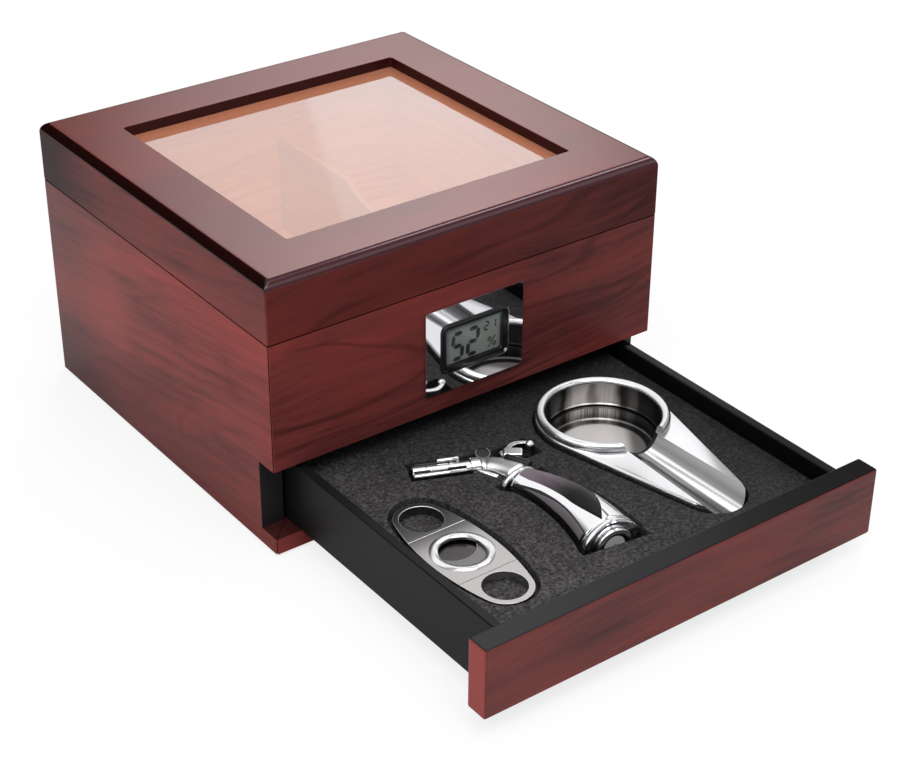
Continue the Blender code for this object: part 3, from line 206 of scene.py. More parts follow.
# Where the camera stands, from the photograph's edges
CAMERA_AT = (-0.5709, -0.8678, 0.6233)
CAMERA_AZIMUTH = 36.88
CAMERA_ELEVATION = 30.80
CAMERA_ROLL = 0.45
CAMERA_LENS = 78.27
SENSOR = 36.0

FLOOR_REACH = 6.0
FLOOR_DROP = 0.0002
FINE = 96
FACING = {"-X": Vector((-1, 0, 0)), "+X": Vector((1, 0, 0)), "-Y": Vector((0, -1, 0)),
          "+Y": Vector((0, 1, 0)), "-Z": Vector((0, 0, -1)), "+Z": Vector((0, 0, 1))}

# Painted reflections in the bowl: bands of light, each as angle, half width and brightness
BOWL_BANDS = ((1.30, 0.17, 0.95), (0.80, 0.15, 0.75), (1.85, 0.10, 0.30), (0.30, 0.08, 0.12))

# Painted reflections across the cigar rest: bands of light, each as place and brightness
REST_BANDS = ((0.02, 0.08), (0.08, 0.42), (0.37, 0.16), (0.42, 0.34), (0.51, 0.28), (0.55, 1.25),
              (0.71, 1.25), (0.76, 0.34), (0.86, 0.24), (0.98, 0.40))


def tone(red, green, blue):
    """A linear colour from the 0 to 255 values that a screen shows."""
    made = []
    for level in (red / 255.0, green / 255.0, blue / 255.0):
        made.append(level / 12.92 if level <= 0.04045 else ((level + 0.055) / 1.055) ** 2.4)
    return (*made, 1.0)


def opaque(colour, gain=1.0):
    """A colour as the four numbers of a shader socket, brighter or darker."""
    return (colour[0] * gain, colour[1] * gain, colour[2] * gain, 1.0)


def grey(level):
    """A grey as the four numbers of a shader socket."""
    return (level, level, level, 1.0)


class Wire:
    """One output of a shader node. Sums with it add Math nodes."""

    def __init__(self, finish, socket):
        self.finish, self.socket = finish, socket

    def __add__(self, other):
        return self.finish.math("ADD", self, other)

    def __sub__(self, other):
        return self.finish.math("SUBTRACT", self, other)

    def __rsub__(self, other):
        return self.finish.math("SUBTRACT", other, self)

    def __mul__(self, other):
        return self.finish.math("MULTIPLY", self, other)

    def __truediv__(self, other):
        return self.finish.math("DIVIDE", self, other)

    def __rtruediv__(self, other):
        return self.finish.math("DIVIDE", other, self)

    def __pow__(self, other):
        return self.finish.math("POWER", self, other)

    def __rpow__(self, other):
        return self.finish.math("POWER", other, self)

    __radd__ = __add__
    __rmul__ = __mul__

    def size(self):
        return self.finish.math("ABSOLUTE", self)

    def at_most(self, other):
        return self.finish.math("MINIMUM", self, other)

    def at_least(self, other):
        return self.finish.math("MAXIMUM", self, other)

    def step_over(self, low, high):
        """0 below low, 1 above high, and smooth between."""
        return self.finish.add("ShaderNodeMapRange", {"interpolation_type": "SMOOTHSTEP"},
                               {0: self, 1: low, 2: high, 3: 0.0, 4: 1.0})


class Finish:
    """A procedural material, with the methods that add its nodes."""

    def __init__(self, name, tree=None):
        if tree is None:
            self.material = bpy.data.materials.new(name)
            self.material.use_nodes = True
            tree = self.material.node_tree
        self.tree = tree
        self.tree.nodes.clear()

    def add(self, kind, settings=None, inputs=None, outputs=0):
        """Add a node: its settings first, then values or links for its sockets."""
        node = self.tree.nodes.new(kind)
        for key, value in (settings or {}).items():
            if key == "stops":
                self.place_stops(node.color_ramp, value)
            else:
                setattr(node, key, value)
        for key, value in (inputs or {}).items():
            if isinstance(value, Wire):
                self.tree.links.new(value.socket, node.inputs[key])
            else:
                node.inputs[key].default_value = value
        if isinstance(outputs, (tuple, list)):
            return [Wire(self, node.outputs[key]) for key in outputs]
        return Wire(self, node.outputs[outputs]) if node.outputs else node

    @staticmethod
    def place_stops(ramp, stops):
        while len(ramp.elements) < len(stops):
            ramp.elements.new(1.0)
        for element, (place, colour, gain) in zip(ramp.elements, stops):
            element.position, element.color = place, opaque(colour, gain)

    def math(self, operation, first, second=0.0):
        return self.add("ShaderNodeMath", {"operation": operation}, {0: first, 1: second})

    def mix(self, share, first, second):
        """A colour between two colours."""
        return self.add("ShaderNodeMix", {"data_type": "RGBA"}, {0: share, 6: first, 7: second}, 2)

    def between(self, share, tint, low, high):
        """A tint between two strengths of it."""
        return self.mix(share, opaque(tint, low), opaque(tint, high))

    def tint_toward(self, share, colour, tint, gain):
        """A colour, by a share turned into a tint of some strength."""
        return self.mix(share, colour, opaque(tint, gain))

    def ramp(self, value, *stops):
        """A colour by a value; each stop is a place, a colour and its strength."""
        return self.add("ShaderNodeValToRGB", {"stops": stops}, {0: value})

    def here(self):
        """The place on the object, in metres."""
        where = self.add("ShaderNodeTexCoord", outputs="Object")
        return self.add("ShaderNodeSeparateXYZ", inputs={0: where}, outputs=(0, 1, 2))

    def point(self, where):
        return self.add("ShaderNodeCombineXYZ", inputs=dict(enumerate(where)))

    def noise(self, where, scale=1.0, detail=2.0, roughness=0.5):
        return self.add("ShaderNodeTexNoise", inputs={
            "Vector": self.point(where), "Scale": scale, "Detail": detail,
            "Roughness": roughness})

    def cells(self, where, scale):
        return self.add("ShaderNodeTexVoronoi", inputs={"Vector": self.point(where),
                                                        "Scale": scale})

    def principled(self, colour, blur, relief=None, metallic=0.0, specular=0.5, sheen=0.0):
        """The main shader; relief is a height up to 1, its real depth and its strength."""
        sockets = {"Base Color": colour, "Roughness": blur, "Metallic": metallic,
                   "Specular IOR Level": specular, "Sheen Weight": sheen}
        if relief:
            height, depth, strength = relief
            sockets["Normal"] = self.add("ShaderNodeBump", inputs={
                "Strength": strength, "Distance": depth, "Height": height})
        return self.add("ShaderNodeBsdfPrincipled", inputs=sockets)

    def glow(self, strength, colour=grey(1.0)):
        return self.add("ShaderNodeEmission", inputs={"Color": colour, "Strength": strength})

    def blend(self, share, first, second):
        """A shader between two shaders."""
        return self.add("ShaderNodeMixShader", inputs={0: share, 1: first, 2: second})

    def show(self, shader):
        self.add("ShaderNodeOutputMaterial", inputs={"Surface": shader})
        return self.material

    def surface(self, colour, blur, relief=None, **sockets):
        return self.show(self.principled(colour, blur, relief, **sockets))

    def seen_directly(self):
        """1 for rays from the camera or through glass."""
        camera, through = self.add("ShaderNodeLightPath", outputs=(
            "Is Camera Ray", "Is Transmission Ray"))
        return camera.at_least(through)


# Finishes

def grain_ways(place, axes, shift):
    """The ways along the grain, across it and into it, from the names of their axes."""
    named = dict(zip("XYZ", place))
    return [named[axis] + offset for axis, offset in zip(axes, shift)]


def veneer(name, wood, axes, tones, shift=(0.0, 0.0, 0.0), slant=0.0, gain=1.0, blur=None,
           specular=0.12, wave=1.0, figure=0.0, foot=0.0, far=None):
    """Lacquered mahogany veneer. axes names the way along the grain, across it and into it.

    figure is how strong its dark rings are, foot the height up to which it is painted darker low
    down, as painted shade, and far the share by which it is painted darker towards the back and
    where the back is, as painted shade."""
    made = Finish(name)
    place = made.here()
    along, across, into = grain_ways(place, axes, shift)
    across = across + along * slant
    sway = made.noise((along * 5, across * 9, into * 9)) - 0.5
    broad = made.noise((along * 7, across * 26 + sway * 1.3 * wave, into * 12))
    lines = made.noise((along * 15, across * 230 + sway * 8 * wave, into * 40),
                       detail=3.0, roughness=0.6)
    fibre = made.noise((along * 55, across * 1400 + sway * 40, into * 300), detail=1.0)
    patches = made.noise((along * 8 + 5.1, across * 11, into * 10), detail=1.5)
    haze = made.noise((along * 4, across * 6, into * 6)) - 0.5
    grain = lines * 0.34 + broad * 0.46 + fibre * 0.20
    dark, middle, red = tones
    colour = made.ramp(grain, (0.36, dark, gain), (0.50, middle, gain), (0.66, red, gain))
    colour = made.tint_toward(patches.step_over(0.44, 0.70) * 0.45, colour, red, gain * 1.05)
    if figure:
        rings = made.noise((along * 3.2, across * 24 + sway * 1.6, into * 9), detail=1.0)
        rings = made.math("SINE", rings * 50).step_over(0.72, 1.0)
        share = rings * patches.step_over(0.62, 0.40) * figure
        colour = made.tint_toward(share, colour, dark, gain * 0.45)
    # Painted shade: darker low down on the side.
    if foot:
        low = (patches - 0.5) * foot * 0.8 + place[2]
        colour = made.tint_toward((1 - low.step_over(0.0, foot)) * 0.55, colour, dark, gain * 0.4)
    # Painted shade: darker towards the back end.
    if far:
        share, back = far
        deep = (haze * 0.03 + place[1]).step_over(back - 0.085, back - 0.015)
        colour = made.tint_toward(deep * share, colour, dark, gain * 0.3)
    colour = made.tint_toward(fibre.step_over(0.60, 0.78) * 0.30, colour, dark, gain * 0.6)
    rough = haze * 0.08 + (wood.lacquer_blur if blur is None else blur)
    return made.surface(colour, rough, (grain, 0.00005, 0.2), specular=specular)


def cedar(name, wood, axes, shift=0.0, gain=1.0):
    """Bare Spanish cedar: straight pinkish brown grain with fine darker pores."""
    made = Finish(name)
    along, across, into = grain_ways(made.here(), axes, (shift, shift, shift))
    sway = made.noise((along * 5, across * 14, into * 14)) - 0.5
    lines = made.noise((along * 5, across * 190 + sway * 12, into * 190),
                       detail=3.0, roughness=0.55)
    pores = made.noise((along * 90, across * 1700, into * 1700), detail=0.0)
    colour = made.ramp(lines, (0.32, wood.cedar_dark, gain), (0.62, wood.cedar_light, gain))
    colour = made.tint_toward(pores.step_over(0.62, 0.8) * 0.4, colour, wood.cedar_dark, 0.6)
    return made.surface(colour, 0.62, (lines, 0.00008, 0.2), specular=0.3)


def satin_paint(name, colour, blur, dust=0.04, specular=0.35, painted_shading=None):
    """Smooth sprayed paint or moulded plastic, with a faint orange peel and dust.

    The last argument names two places along X and a strength: the paint is painted paler at the
    first and darker at the second, as painted light and shade."""
    made = Finish(name)
    place = made.here()
    peel, cloud = made.noise(place, 900.0, 1.0), made.noise(place, 22.0, 3.0)
    shade = made.between(cloud * 0.5, colour, 1.0, 1.7)
    # Painted light and shade: paler towards one end along X, darker towards the other.
    if painted_shading:
        first, last, gain = painted_shading
        plain = made.mix(0.7, shade, grey(0.0))
        shade = made.tint_toward(1 - place[0].step_over(first, last), plain, colour, gain)
    return made.surface(shade, (cloud - 0.5) * dust * 2 + blur, (peel, 0.00003, 0.3),
                        specular=specular)


def cut_foam(name, drawer):
    """Dense charcoal foam: small open cells, lighter specks, a slightly uneven face and painted
    shade that darkens it towards the right and the back.
    """
    made = Finish(name)
    x, y, z = place = made.here()
    fine, grains = made.noise(place, 1300.0, 2.0, 0.8), made.noise(place, 560.0, 2.0, 0.75)
    level = fine * 0.34 + grains * 0.56 + made.noise(place, 26.0) * 0.10
    shade = made.ramp(level, (0.38, drawer.foam_dark, 1.0), (0.52, drawer.foam_light, 1.0),
                      (0.64, drawer.foam_light, 2.4))
    # Painted shade: darker towards the right and the back of the insert.
    low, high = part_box("foam_insert")
    painted_shade_slope = (x - low.x) / (high.x - low.x) * 0.75 + (y - low.y) / (high.y - low.y) * 0.45
    shade = made.tint_toward(painted_shade_slope.step_over(0.10, 0.90) * 0.74, shade, drawer.foam_dark, 0.25)
    height = made.cells(place, 900.0) * 0.5 + grains * 0.5
    return made.surface(shade, 0.92, (height, 0.0006, 0.8), specular=0.25)


def felt_cloth(name, colour):
    """Short black felt."""
    made = Finish(name)
    nap = made.noise(made.here(), 2600.0, 3.0, 0.7)
    return made.surface(made.between(nap, colour, 1.0, 2.5), 0.97, (nap, 0.0004, 0.8), sheen=0.3)


def polished(name, tint, blur, smudge=0.03):
    """Plated metal with faint wiping marks in its gloss."""
    made = Finish(name)
    x, y, z = place = made.here()
    marks = made.noise(place, 55.0, 4.0, 0.6)
    fine = made.noise((x * 700, y * 160, z * 700), detail=1.0)
    rough = marks.step_over(0.45, 0.75) * smudge + fine * smudge * 0.4 + blur
    return made.surface(made.between(marks * 0.25, tint, 1.0, 0.9), rough, (marks, 0.00002, 0.12),
                        metallic=1.0)


def brushed(name, tint, blur, grit=1.0):
    """Steel with straight fine brush lines from front to back."""
    made = Finish(name)
    x, y, z = place = made.here()
    lines = made.noise((x * 2300, y * 26, z * 2300), roughness=0.6)
    shade = made.between(lines * 0.6 + made.noise(place, 60.0) * 0.4, tint, 0.86, 1.08)
    return made.surface(shade, (lines - 0.5) * 0.14 * grit + blur, (lines, 0.00004 * grit, 0.35),
                        metallic=1.0)


def satin_metal(name, tint, blur, painted_shading=None):
    """Bead-blasted or finely ground metal with an even, soft gloss.

    The last argument names two places along Y and how dark the metal is painted at the second:
    painted shade."""
    made = Finish(name)
    place = made.here()
    cloud, grain = made.noise(place, 70.0, 3.0, 0.6), made.noise(place, 1900.0, 1.0)
    shade = made.between(cloud * 0.6 + grain * 0.4, tint, 0.88, 1.06)
    # Painted shade: darker towards one end along Y.
    if painted_shading:
        first, last, gain = painted_shading
        shade = made.tint_toward(place[1].step_over(first, last), shade, tint, gain)
    return made.surface(shade, (cloud - 0.5) * 0.06 + blur, (grain, 0.00002, 0.3), metallic=1.0)


def turned_steel(name, tint, middle, step_at):
    """Steel turned on a lathe, with painted reflections and shade: upright bands of light, a dark
    line at the step, hatching below the step, a darker ring deep down and a pale floor painted dark
    on its right.
    """
    made = Finish(name)
    x, y, z = made.here()
    x, y = x - middle.x, y - middle.y
    turn = made.math("ARCTAN2", y, x)
    reach = (x * x + y * y) ** 0.5
    fine = made.noise((turn * 26, z * 20, 0.0), roughness=0.7)
    rings = made.noise((reach * 2400, z * 2400, 0.0), detail=1.0)
    wobble = (made.noise((turn * 4, z * 60, 0.0), detail=1.0) - 0.5) * 0.2
    level = 0.06
    for at, wide, bright in BOWL_BANDS:
        away = (turn + wobble - at).size()
        level = (1 - away.step_over(wide * 0.5, wide * 2.0)) * bright + level
    shade = made.ramp(level * (fine * 0.5 + 0.75), (0.05, tint, 0.03), (0.45, tint, 0.45),
                      (1.0, tint, 1.15))
    depth = z * -1.0 + step_at
    # Painted shade: a dark line at the step.
    line = depth.step_over(-0.0012, -0.0008) * (1 - depth.step_over(0.0004, 0.0010))
    shade = made.tint_toward(line * 0.92, shade, tint, 0.02)
    hatch = made.noise((turn * 60, z * 20, 0.0), detail=1.0)
    low = depth.step_over(0.0004, 0.0012)
    shade = made.tint_toward(low * hatch.step_over(0.42, 0.62) * 0.7, shade, tint, 0.12)
    # Painted shade: darker deep down.
    deep = depth.step_over(0.0066, 0.0074)
    shade = made.tint_toward(deep * 0.6, shade, tint, 0.25)
    # Painted reflection: a pale, less metallic floor, painted dark on its right.
    floor = deep * (1 - reach.step_over(0.0235, 0.0262))
    shade = made.tint_toward(floor, shade, tint, 1.15)
    right = (x * 0.8 - y * 0.6).step_over(0.0125, 0.0195)
    shade = made.tint_toward(floor * right * 0.8, shade, tint, 0.10)
    dot = (1 - reach.step_over(0.0012, 0.0022)) * floor
    shade = made.tint_toward(dot * 0.85, shade, tint, 0.08)
    return made.surface(shade, rings * 0.10 + 0.26, (fine * 0.5 + rings * 0.5, 0.00006, 0.3),
                        metallic=1 - floor * 0.8)


def trough_steel(name, tint, middle, start, run):
    """The cigar rest's polish, with painted reflections: bands of light along it that widen as the
    rest does.
    """
    made = Finish(name)
    x, y, z = made.here()
    half_start, half_end = REST_WIDTHS[0] / 2, REST_WIDTHS[1] / 2
    share = (start - y) / run
    across = (x - middle) / (share * (half_end - half_start) + half_start)
    sway = made.noise((across * 3, y * 14, 0.0)) - 0.5
    fine = made.noise((x * 1500, y * 40, 0.0))
    shade = made.ramp((across + sway * 0.10) * 0.5 + 0.5,
                      *((at, tint, gain) for at, gain in REST_BANDS))
    return made.surface(made.tint_toward(fine * 0.15, shade, tint, 0.4), 0.20, (fine, 0.00002, 0.2),
                        metallic=1.0)


def smoked(name, colour, near, far):
    """Smoked inlay with a painted sheen: mauve by the collar, sinking into black towards the foot.
    """
    made = Finish(name)
    x, y, z = made.here()
    cloud = made.noise((x * 160, y * 45, z * 160), detail=3.0)
    sink = (y - near) / (far - near) + (cloud - 0.5) * 0.5
    shade = made.mix(sink.step_over(0.0, 0.95), opaque(colour), grey(0.004))
    return made.surface(shade, 0.32, (cloud, 0.00004, 0.2), specular=0.15)


def clear_pane(name, tint, dust, gloss=0.6, haze=0.0):
    """Clear glass: it mirrors by its angle and lets the rest through. It may carry a warm veil,
    painted light that stands in for the lit cedar seen through the pane.
    """
    made = Finish(name)
    edge = made.add("ShaderNodeFresnel", inputs={"IOR": 1.5})
    front = 1 - made.add("ShaderNodeNewGeometry", outputs="Backfacing")
    film = made.noise(made.here(), 18.0, 3.0)
    slant = made.add("ShaderNodeLayerWeight", inputs={"Blend": 0.5}, outputs="Facing")
    through = made.add("ShaderNodeBsdfTransparent", inputs={"Color": tint})
    # Painted light: a warm lit veil for the cedar seen through the glass.
    veil = made.principled((0.96, 0.40, 0.235, 1.0), 0.9, specular=0.0)
    body = made.blend((film * 0.2 + 0.9) * slant * haze * front, through, veil)
    mirror = made.principled((0.66, 0.91, 1.0, 1.0), film * 0.04 + 0.04, metallic=1.0)
    share = (edge * gloss + film * dust).at_most(1.0) * front
    return made.show(made.blend(share, body, mirror))


def display_glass(name, colour):
    """The grey of a liquid crystal display, painted darker to its edges where the frame borders it,
    as painted shade, and paler towards +X, as painted light.
    """
    made = Finish(name)
    x, y, z = place = made.here()
    low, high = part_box("hygrometer_display")
    middle = (low + high) / 2
    off_x = (x - middle.x).size() / (high.x - middle.x)
    off_z = (z - middle.z).size() / (high.z - middle.z)
    grid = made.noise(place, 700.0, 1.0)
    # Painted light: paler towards +X.
    slope = (x - low.x) / (high.x - low.x)
    shade = made.between(grid * 0.3 + slope * 0.4, colour, 0.82, 1.15)
    # Painted shade: darker to the edges.
    shade = made.tint_toward(off_x.at_least(off_z).step_over(0.80, 1.0) * 0.75, shade, colour, 0.3)
    return made.surface(shade, 0.38, (grid, 0.00002, 0.2))


def sponge_foam(name, colour):
    """Florist's foam that holds the water."""
    made = Finish(name)
    place = made.here()
    cells = made.cells(place, 700.0)
    shade = made.between(made.noise(place, 60.0, 3.0) * 0.6 + cells * 0.4, colour, 0.7, 1.4)
    return made.surface(shade, 0.95, (cells, 0.0008, 0.8))


def pale_floor(name, colour, share, strength):
    """The studio floor. Seen directly or through glass it is white but for its shadow."""
    made = Finish(name)
    shade = made.between(made.noise(made.here(), 40.0) * 0.2, colour, 1.0, 0.98)
    lit = made.principled(shade, 0.9, specular=0.0)
    return made.show(made.blend(made.seen_directly() * share, lit, made.glow(strength)))


def card_black(name):
    """A black card that gives plated metal its dark bands."""
    return Finish(name).surface(grey(0.004), 1.0, specular=0.0)


def card_lit(name, strength):
    """A white card that brightens what plated metal mirrors to the right."""
    made = Finish(name)
    return made.show(made.glow(strength))


def card_white(name, strength):
    """A reflector card that works from its front alone, darker low down and in one stripe."""
    made = Finish(name)
    x, y, z = made.here()
    behind = made.add("ShaderNodeNewGeometry", outputs="Backfacing")
    right = x.step_over(-0.005, 0.07) * 0.75
    bright = (z.step_over(0.078, 0.130) * (1 - right) + right) * 0.92 + 0.08
    stripe = (x.step_over(0.088, 0.102) * (1 - x.step_over(0.116, 0.128))
              * z.step_over(0.132, 0.142))
    level = bright * (1 - stripe * 0.85) * strength
    light = made.glow(max(strength, 1.0), made.mix(level.at_most(1.0), grey(0.0), grey(1.0)))
    return made.show(made.blend(behind, light, made.add("ShaderNodeBsdfTransparent")))


# Shapes: each is a list of points and a list of faces

def in_mm(*points):
    """Points written in millimetres, as metres."""
    return [tuple(value * MM for value in point) for point in points]


def lay(outline, w, axis="Z"):
    """The points of an outline at w along the axis that it lies across."""
    turned = {"X": lambda u, v: (w, u, v), "Y": lambda u, v: (u, w, v), "Z": lambda u, v: (u, v, w)}
    return [turned[axis](u, v) for u, v in outline]


def walls(first, second, count):
    return [(first + i, first + (i + 1) % count, second + (i + 1) % count, second + i)
            for i in range(count)]


def caps(loops, starts):
    """Triangles over an outline with holes, as indices into the whole point list."""
    flat = [start + i for loop, start in zip(loops, starts) for i in range(len(loop))]
    triangles = tessellate_polygon([[Vector((u, v, 0.0)) for u, v in loop] for loop in loops])
    return [tuple(flat[i] for i in triangle) for triangle in triangles]


def prism(outline, low, high, axis="Z", holes=()):
    """A straight solid of one outline, with holes right through."""
    loops = [list(outline), *[list(hole) for hole in holes]]
    points, faces, bottoms, tops = [], [], [], []
    for loop in loops:
        bottoms.append(len(points))
        tops.append(len(points) + len(loop))
        points += lay(loop, low, axis) + lay(loop, high, axis)
        faces += walls(bottoms[-1], tops[-1], len(loop))
    if holes:
        return points, faces + caps(loops, bottoms) + caps(loops, tops)
    count = len(outline)
    return points, faces + [tuple(range(count)), tuple(range(count, 2 * count))]


def block(low, high):
    (x0, y0, z0), (x1, y1, z1) = low, high
    return prism([(x0, y0), (x1, y0), (x1, y1), (x0, y1)], z0, z1)


def rounded(half_u, half_v, radius, centre=(0.0, 0.0), steps=10):
    """A rectangle with round corners, anticlockwise."""
    points = []
    for turn, (sign_u, sign_v) in enumerate(((1, 1), (-1, 1), (-1, -1), (1, -1))):
        for step in range(steps + 1):
            angle = math.radians(90.0) * (turn + step / steps)
            points.append((centre[0] + sign_u * (half_u - radius) + radius * math.cos(angle),
                           centre[1] + sign_v * (half_v - radius) + radius * math.sin(angle)))
    return points


def circle(radius, steps=FINE, centre=(0.0, 0.0)):
    return [(centre[0] + radius * math.cos(math.tau * i / steps),
             centre[1] + radius * math.sin(math.tau * i / steps)) for i in range(steps)]


def shares(steps):
    """Even steps from 0 to 1, both with them."""
    return [step / steps for step in range(steps + 1)]


def quarter_turn(steps):
    """The sine and cosine at even steps of a quarter turn."""
    return [(math.sin(angle), math.cos(angle))
            for angle in (math.radians(90.0 * share) for share in shares(steps))]


def loft(rings, closed=False):
    """A skin over rings of equal count, capped at both ends or closed on itself."""
    count, last = len(rings[0]), len(rings) - 1
    points = [point for ring in rings for point in ring]
    faces = []
    for level in range(last + 1 if closed else last):
        faces += walls(level * count, (level + 1) % len(rings) * count, count)
    if not closed:
        faces += [tuple(range(count)), tuple(last * count + i for i in range(count))]
    return points, faces


def lathe(profile, steps=FINE, at=(0.0, 0.0)):
    """A solid turned about an upright axis, from a profile that starts and ends on the axis."""
    inner = profile[1:-1]
    points = [(at[0], at[1], profile[0][1])]
    for radius, height in inner:
        points += lay(circle(radius, steps, at), height)
    points.append((at[0], at[1], profile[-1][1]))
    faces = [(0, 1 + i, 1 + (i + 1) % steps) for i in range(steps)]
    for level in range(len(inner) - 1):
        faces += walls(1 + level * steps, 1 + (level + 1) * steps, steps)
    last, start = len(points) - 1, 1 + (len(inner) - 1) * steps
    return points, faces + [(last, start + i, start + (i + 1) % steps) for i in range(steps)]


def moved(shape, matrix):
    return [tuple(matrix @ Vector(point)) for point in shape[0]], shape[1]


def turned_to(shape, at, direction):
    """The same shape with its Z axis along a direction and its origin at a point."""
    turn = Vector(direction).to_track_quat("Z", "Y").to_matrix().to_4x4()
    return moved(shape, Matrix.Translation(Vector(at)) @ turn)


def joined(*shapes):
    """Several closed shapes as one."""
    points, faces = [], []
    for more_points, more_faces in shapes:
        start = len(points)
        points += list(more_points)
        faces += [tuple(start + i for i in face) for face in more_faces]
    return points, faces


def node_shape(name):
    """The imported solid's own points and faces."""
    mesh = NODES[name].data
    return [tuple(v.co) for v in mesh.vertices], [tuple(p.vertices) for p in mesh.polygons]


def spans(name, axes):
    """A CAD node's middle and its half breadths along two axes."""
    low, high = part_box(name)
    ends = [(getattr(low, axis), getattr(high, axis)) for axis in axes]
    return [(a + b) / 2 for a, b in ends], [(b - a) / 2 for a, b in ends]


# Pieces

def placed(name, data):
    """An object of the scene that holds a mesh, a lamp or a camera."""
    made = bpy.data.objects.new(name, data)
    bpy.context.scene.collection.objects.link(made)
    return made


def clean(mesh, near, degrees=None, outward=False):
    """Merge near points, dissolve the edges between level faces and turn the faces outward."""
    shell = bmesh.new()
    shell.from_mesh(mesh)
    bmesh.ops.remove_doubles(shell, verts=shell.verts, dist=near)
    if degrees:
        bmesh.ops.dissolve_limit(shell, angle_limit=math.radians(degrees), verts=shell.verts,
                                 edges=shell.edges)
    if outward:
        bmesh.ops.recalc_face_normals(shell, faces=shell.faces)
    shell.to_mesh(mesh)
    shell.free()


def solid(name, shape, finishes=(), degrees=None):
    points, faces = shape
    mesh = bpy.data.meshes.new(name)
    mesh.from_pydata([tuple(point) for point in points], [], faces)
    clean(mesh, 0.000002, degrees, outward=True)
    for finish in finishes:
        mesh.materials.append(finish)
    return placed(name, mesh)


def trim(name, shape, body, finish, degrees=None, level=None):
    """A piece that rides on a CAD body.

    Faces that meet at less than degrees are shaded round, and those within level are made one."""
    made = solid(name, shape, [finish], level)
    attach(made, body)
    if degrees:
        smooth(made, degrees)
    return made


def piece(name, shape, body, finish, node, degrees=None, level=None):
    """A piece that also stands for the CAD node."""
    made = trim(name, shape, body, finish, degrees, level)
    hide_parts(node)
    return made


def smooth(made, degrees):
    """Round shading over the faces that meet at less than an angle."""
    made.data.shade_smooth()
    made.data.set_sharp_from_angle(angle=math.radians(degrees))


def soften(made, width, steps=3, degrees=32.0, edge=None):
    """Round every edge sharper than an angle, with the flat faces left flat."""
    made.data.shade_smooth()
    bevel = made.modifiers.new("softened_edges", "BEVEL")
    bevel.width, bevel.segments = width, steps
    bevel.limit_method, bevel.angle_limit = "ANGLE", math.radians(degrees)
    bevel.harden_normals, bevel.miter_outer = True, "MITER_ARC"
    if edge:
        made.data.materials.append(edge)
        bevel.material = len(made.data.materials) - 1


def carve(made, *shapes):
    """Cut shapes out of a piece."""
    guides = [solid(f"guide_{index}", shape) for index, shape in enumerate(shapes)]
    for guide in guides:
        cut = made.modifiers.new("carve", "BOOLEAN")
        cut.operation, cut.solver, cut.object = "DIFFERENCE", "EXACT", guide
    bpy.context.view_layer.update()
    graph = bpy.context.evaluated_depsgraph_get()
    mesh = bpy.data.meshes.new_from_object(made.evaluated_get(graph), depsgraph=graph)
    made.modifiers.clear()
    made.data = mesh
    for guide in guides:
        bpy.data.objects.remove(guide, do_unlink=True)
    clean(mesh, 0.000004, 0.4)


def face_finishes(made, sides):
    """Give each face the finish of the side that it turns to most."""
    mesh = made.data
    ways = [FACING[side] for side in sides]
    mesh.materials.clear()
    for finish in sides.values():
        mesh.materials.append(finish)
    for face in mesh.polygons:
        face.material_index = max(range(len(ways)), key=lambda i: face.normal.dot(ways[i]))


def repaint(made, finish, chosen):
    """Give a finish to the faces that a rule picks by their middle and the way they face."""
    slots = made.data.materials
    if finish.name not in slots:
        slots.append(finish)
    index = slots.find(finish.name)
    for face in made.data.polygons:
        if chosen(face.center, face.normal):
            face.material_index = index


def dress(finish, *names):
    """Give CAD nodes that keep their shape a better finish."""
    for name in names:
        mesh = NODES[name].data
        mesh.materials.clear()
        mesh.materials.append(finish)


# The case and its lining

def wood_sides(wood, gain, side_gain, foot, far):
    """The veneers of the front and the side of the case or the lid.

    The side is a brighter copy of the front's veneer by side_gain: painted light on the side that is
    lit more. foot is the height of the painted shade low on the side, far how dark the painted shade
    gets at the back."""
    tones = (wood.veneer_dark, wood.veneer_middle, wood.veneer_red)
    front = veneer("veneer_front", wood, "XZY", tones, (0.03, 0.0, 0.0), slant=-0.05, gain=gain,
                   specular=0.06, figure=0.38)
    side = veneer("veneer_side", wood, "YZX", tones, (0.4, 0.02, 0.0), slant=0.16,
                  gain=side_gain, specular=0.08, wave=0.5, figure=0.15, foot=foot,
                  far=(far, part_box("lid_frame")[1].y))
    return front, side


def inside_bay(middle, way):
    """True for the case's faces that turn in to the drawer bay."""
    between_sides = abs(middle.x) < CAD_HIGH.x - PANEL_EASE * 3
    across = abs(way.x) > 0.7 and middle.x * way.x < 0
    return across or (way.y < -0.9 and middle.y > FRONT_Y + OVERRUN and between_sides)


